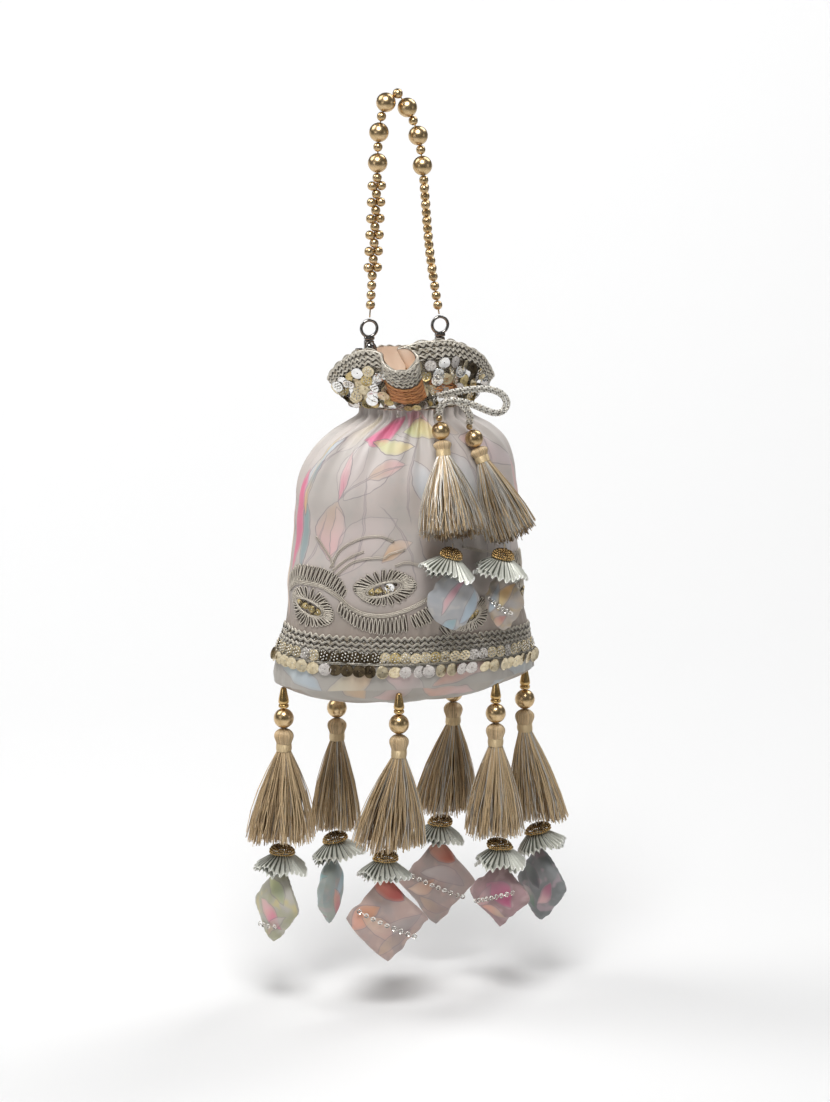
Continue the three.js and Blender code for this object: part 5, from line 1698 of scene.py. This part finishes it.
def loops_between(pile, inner, outer, pitch):
    """Narrow loops of cord from an inner line of the cloth to an outer one."""
    inner, outer = np.asarray(inner, float), np.asarray(outer, float)
    spread = np.linalg.norm(np.diff(outer, axis=0), axis=1).sum()
    count = int(spread / pitch)
    turn = np.linspace(0, 2 * np.pi, 12)[:-1]
    for k in range(count):
        share = (k + 0.5) / count * (len(outer) - 1)
        ends = [np.array([np.interp(share * (len(line) - 1) / (len(outer) - 1),
                                    np.arange(len(line)),
                                    line[:, c]) for c in (0, 1)]) for line in (inner, outer)]
        reach = ends[1] - ends[0]
        length = np.linalg.norm(reach)
        if length < 1.5:
            continue
        along = reach / length
        across = np.array([-along[1], along[0]])
        wide = 0.5 * pitch * LOOP_FILL - 0.25 * LOOP_CORD
        middle = ends[0] + reach * (0.5 + dice.uniform(-0.02, 0.02))
        ring = (middle + np.outer(0.5 * length * np.cos(turn), along)
                + np.outer(wide * np.sin(turn) * (1 + 0.35 * np.cos(turn)), across))
        laid_cord(pile, bag_point, ring[:, 0], ring[:, 1], LOOP_CORD, 0.6 + 0.15 * (k % 2),
                  dice.uniform(0.6, 1.0), True)
        # Painted shade: dark threads beside each loop stand for the shade in the gaps between the
        # loops.
        for beside in (0, 0.5):
            gap = middle + beside * pitch * across + np.outer((-0.42, 0, 0.42), reach)
            laid_cord(pile, bag_point, gap[:, 0], gap[:, 1], SHADE_THREAD, 0.4, 0.0, sides=3)


def eye_and_edge(centre, half_long, half_wide, tilt, edge):
    """The closed inner line round a leaf's eye and the matching points of its closed edge."""
    turn = np.linspace(0, 2 * np.pi, 49)
    c, s = math.cos(math.radians(tilt)), math.sin(math.radians(tilt))
    eye = np.stack([half_long * np.cos(turn), half_wide * np.sin(turn)], -1) @ ((c, s), (-s, c))
    rim = smooth_line(edge, 12, True) - centre
    angles = np.unwrap(np.arctan2(rim[:, 1], rim[:, 0]))
    order = np.argsort(angles % (2 * np.pi))
    reach = np.linalg.norm(rim, axis=1)[order]
    angle = (angles % (2 * np.pi))[order]
    want = np.arctan2(eye[:, 1], eye[:, 0]) % (2 * np.pi)
    far = np.interp(want, angle, reach, period=2 * np.pi)
    return eye + centre, np.stack([far * np.cos(want), far * np.sin(want)], -1) + centre


def stem(pile, points, cords=3, gap=0.95, radius=0.42):
    line = evenly(smooth_line(points, 10), 1.2)
    along = unit(np.gradient(line, axis=0))
    across = np.stack([-along[:, 1], along[:, 0]], -1)
    for k in range(cords):
        side = line + across * gap * (k - (cords - 1) / 2)
        laid_cord(pile, bag_point, side[:, 0], side[:, 1], radius, 0.65 + 0.15 * (k % 2),
                  0.65 + 0.12 * k)

# %% The leaves
cords, spangles, knots = Pile(), Pile(), Pile()


LOOP_PITCH = 2.75


def leaf_round_eye(centre, half_long, half_wide, tilt, edge, pitch=LOOP_PITCH):
    eye, rim = eye_and_edge(np.array(centre, float), half_long, half_wide, tilt, edge)
    loops_between(cords, eye + (eye - centre) * 0.18, rim, pitch)
    for grow in (1.0, 1.14):
        ring = (eye - centre) * grow + centre
        laid_cord(cords, bag_point, ring[:-1, 0], ring[:-1, 1], 0.42, 0.8, 0.85, True)
    c, s = math.cos(math.radians(tilt)), math.sin(math.radians(tilt))
    spots = numbers.uniform(-0.75, 0.75, (26, 2)) * (half_long, half_wide) @ ((c, s),
                                                                              (-s, c)) + centre
    sewn_sequins(spangles, bag_point, out_of_bag, spots[:, 0], spots[:, 1], 0.95, 0.5,
                 numbers.choice((DARK, DARK, GOLD, CHAMPAGNE), len(spots)), 0.3)


def spangle_row(start, end, count, radius, kind):
    spots = np.linspace(start, end, count)
    found = sewn_sequins(spangles, bag_point, out_of_bag, spots[:, 0], spots[:, 1], radius, 0.6,
                         [kind] * count, 0.1)
    knots.add(*balls(found[0] + 0.4 * found[1], 0.5, 5, 4))


MIRROR_AT = 1.0  # the leaves are alike on both sides of this line


def mirrored(points):
    return [(2 * MIRROR_AT - s, z) for s, z in points]


def fringe(inner, outer):
    """Loops of cord between two smooth lines."""
    loops_between(cords, evenly(smooth_line(inner, 10), 1.5), evenly(smooth_line(outer, 10), 1.5),
                  LOOP_PITCH)


# %% [markdown]
# The outlines were drawn on the cloth: how far round from the front's middle, and how high. The
# right half of the pouch has most of them again as in a mirror, and the back repeats the front.

# %% Outlines of the leaves
LEFT_EDGE = [(-91.8, -316.3), (-83.6, -306.7), (-69, -308.5), (-59.2, -323.1), (-64.1, -330.2),
             (-82.3, -330.6)]
RIGHT_EDGE = [(-48, -306.1), (-41.4, -297.8), (-27.7, -293), (-14.6, -296.9), (-6.8, -303.9),
              (-13, -312), (-20.7, -316.5), (-36, -315.5)]
TOP_ARC = [(-96.5, -301), (-89, -294.5), (-82.4, -292.1), (-66.4, -293.2), (-56, -299),
           (-51.8, -307.5)]
STEM_ARC = [(-96.5, -311), (-88, -304.8), (-81.3, -302.9), (-67.8, -304.3), (-59, -309),
            (-54, -312.5)]
BASE_STEM = [(-97, -311.5), (-88, -305.5), (-80.6, -303.8), (-68, -305.2), (-57.4, -311),
             (-50.1, -317.6),
             (-40.3, -322.2), (-26.7, -323.2), (-14.2, -320.2), (-2, -315), (8, -309)]
LOW_INNER = [(-56, -314), (-50, -319.5), (-40, -324), (-27, -325), (-14, -322.5)]
LOW_OUTER = [(-57.5, -321), (-51.7, -326.5), (-43.1, -331.8), (-29.2, -336), (-12, -334.8)]
# %% Couching the leaves on
for shift in (0.0, 2 * SIDE_SEAM):
    def put_at(points):
        return [(s + shift, z) for s, z in points]

    leaf_round_eye(put_at([(-76.2, -319.5)])[0], 10, 4.3, -20, put_at(LEFT_EDGE))
    leaf_round_eye(put_at([(-28.2, -306.2)])[0], 11, 3.9, 14, put_at(RIGHT_EDGE))
    leaf_round_eye(put_at([(78.4, -321.5)])[0], 10, 4.3, 20, put_at(mirrored(LEFT_EDGE)))
    leaf_round_eye(put_at([(29, -327.3)])[0], 7, 3.4, 28,
                   put_at([(18, -334), (22, -322), (34, -315), (43, -320), (41, -332), (30, -338)]),
                   2.5)
    fringe(put_at(STEM_ARC), put_at(TOP_ARC))
    fringe(put_at(mirrored(STEM_ARC)), put_at(mirrored(TOP_ARC)))
    fringe(put_at(LOW_INNER), put_at(LOW_OUTER))
    fringe(put_at([(-12, -324), (-4, -320), (4, -315.5)]),
           put_at([(-8, -333), (2, -330), (10, -322)]))
    fringe(put_at([(14, -340), (22, -336.5), (32, -337.5)]),
           put_at([(8, -333), (19, -329), (34, -330)]))
    stem(cords, put_at(BASE_STEM))
    stem(cords, put_at(mirrored(BASE_STEM)[:8]))
    for points in ([(-62.8, -292.9), (-57.7, -281.6), (-46, -274.4), (-33.9, -272.3), (-28, -273.5),
                    (-22.4, -275.9)],
                   [(-61.2, -294.9), (-55, -288.5), (-49, -284.8), (-42.1, -281.9)],
                   [(-58.9, -297.5), (-48.8, -288.9), (-34.9, -286), (-28.6, -286.1),
                    (-24.4, -283.4), (-14.8, -281)],
                   [(-74.8, -273.9), (-69, -281), (-63.9, -286.8), (-61, -292)],
                   [(-21.3, -291.5), (-14.5, -289.5), (-6, -291.5), (1, -293.3)],
                   [(66, -293), (60, -282), (48, -275), (38, -272)],
                   [(64, -297), (52, -289), (38, -286), (24, -282)]):
        stem(cords, put_at(points), 2, 1.0, 0.3)
    spangle_row(*put_at([(-83, -317), (-69.5, -322)]), 4, 2.3, GOLD)
    spangle_row(*put_at([(-36, -308.2), (-32, -307.2)]), 2, 2.0, GOLD)
    spangle_row(*put_at([(71.5, -323.8), (85, -319)]), 4, 2.3, GOLD)
    spangle_row(*put_at([(25, -329.3), (33, -325.2)]), 3, 2.1, GOLD)
    spangle_row(*put_at([(-24.5, -305.2), (-24.4, -305.2)]), 1, 3.2, SILVER)
leaves = make("embroidered_leaves", cords, "bag", [couched])
for name, pile, finishes in (("leaf_spangles", spangles, sequin_finishes),
                             ("leaf_beads", knots, [glass])):
    make(name, pile, "bag", finishes)
print("embroidery:", len(leaves.data.polygons), "faces")
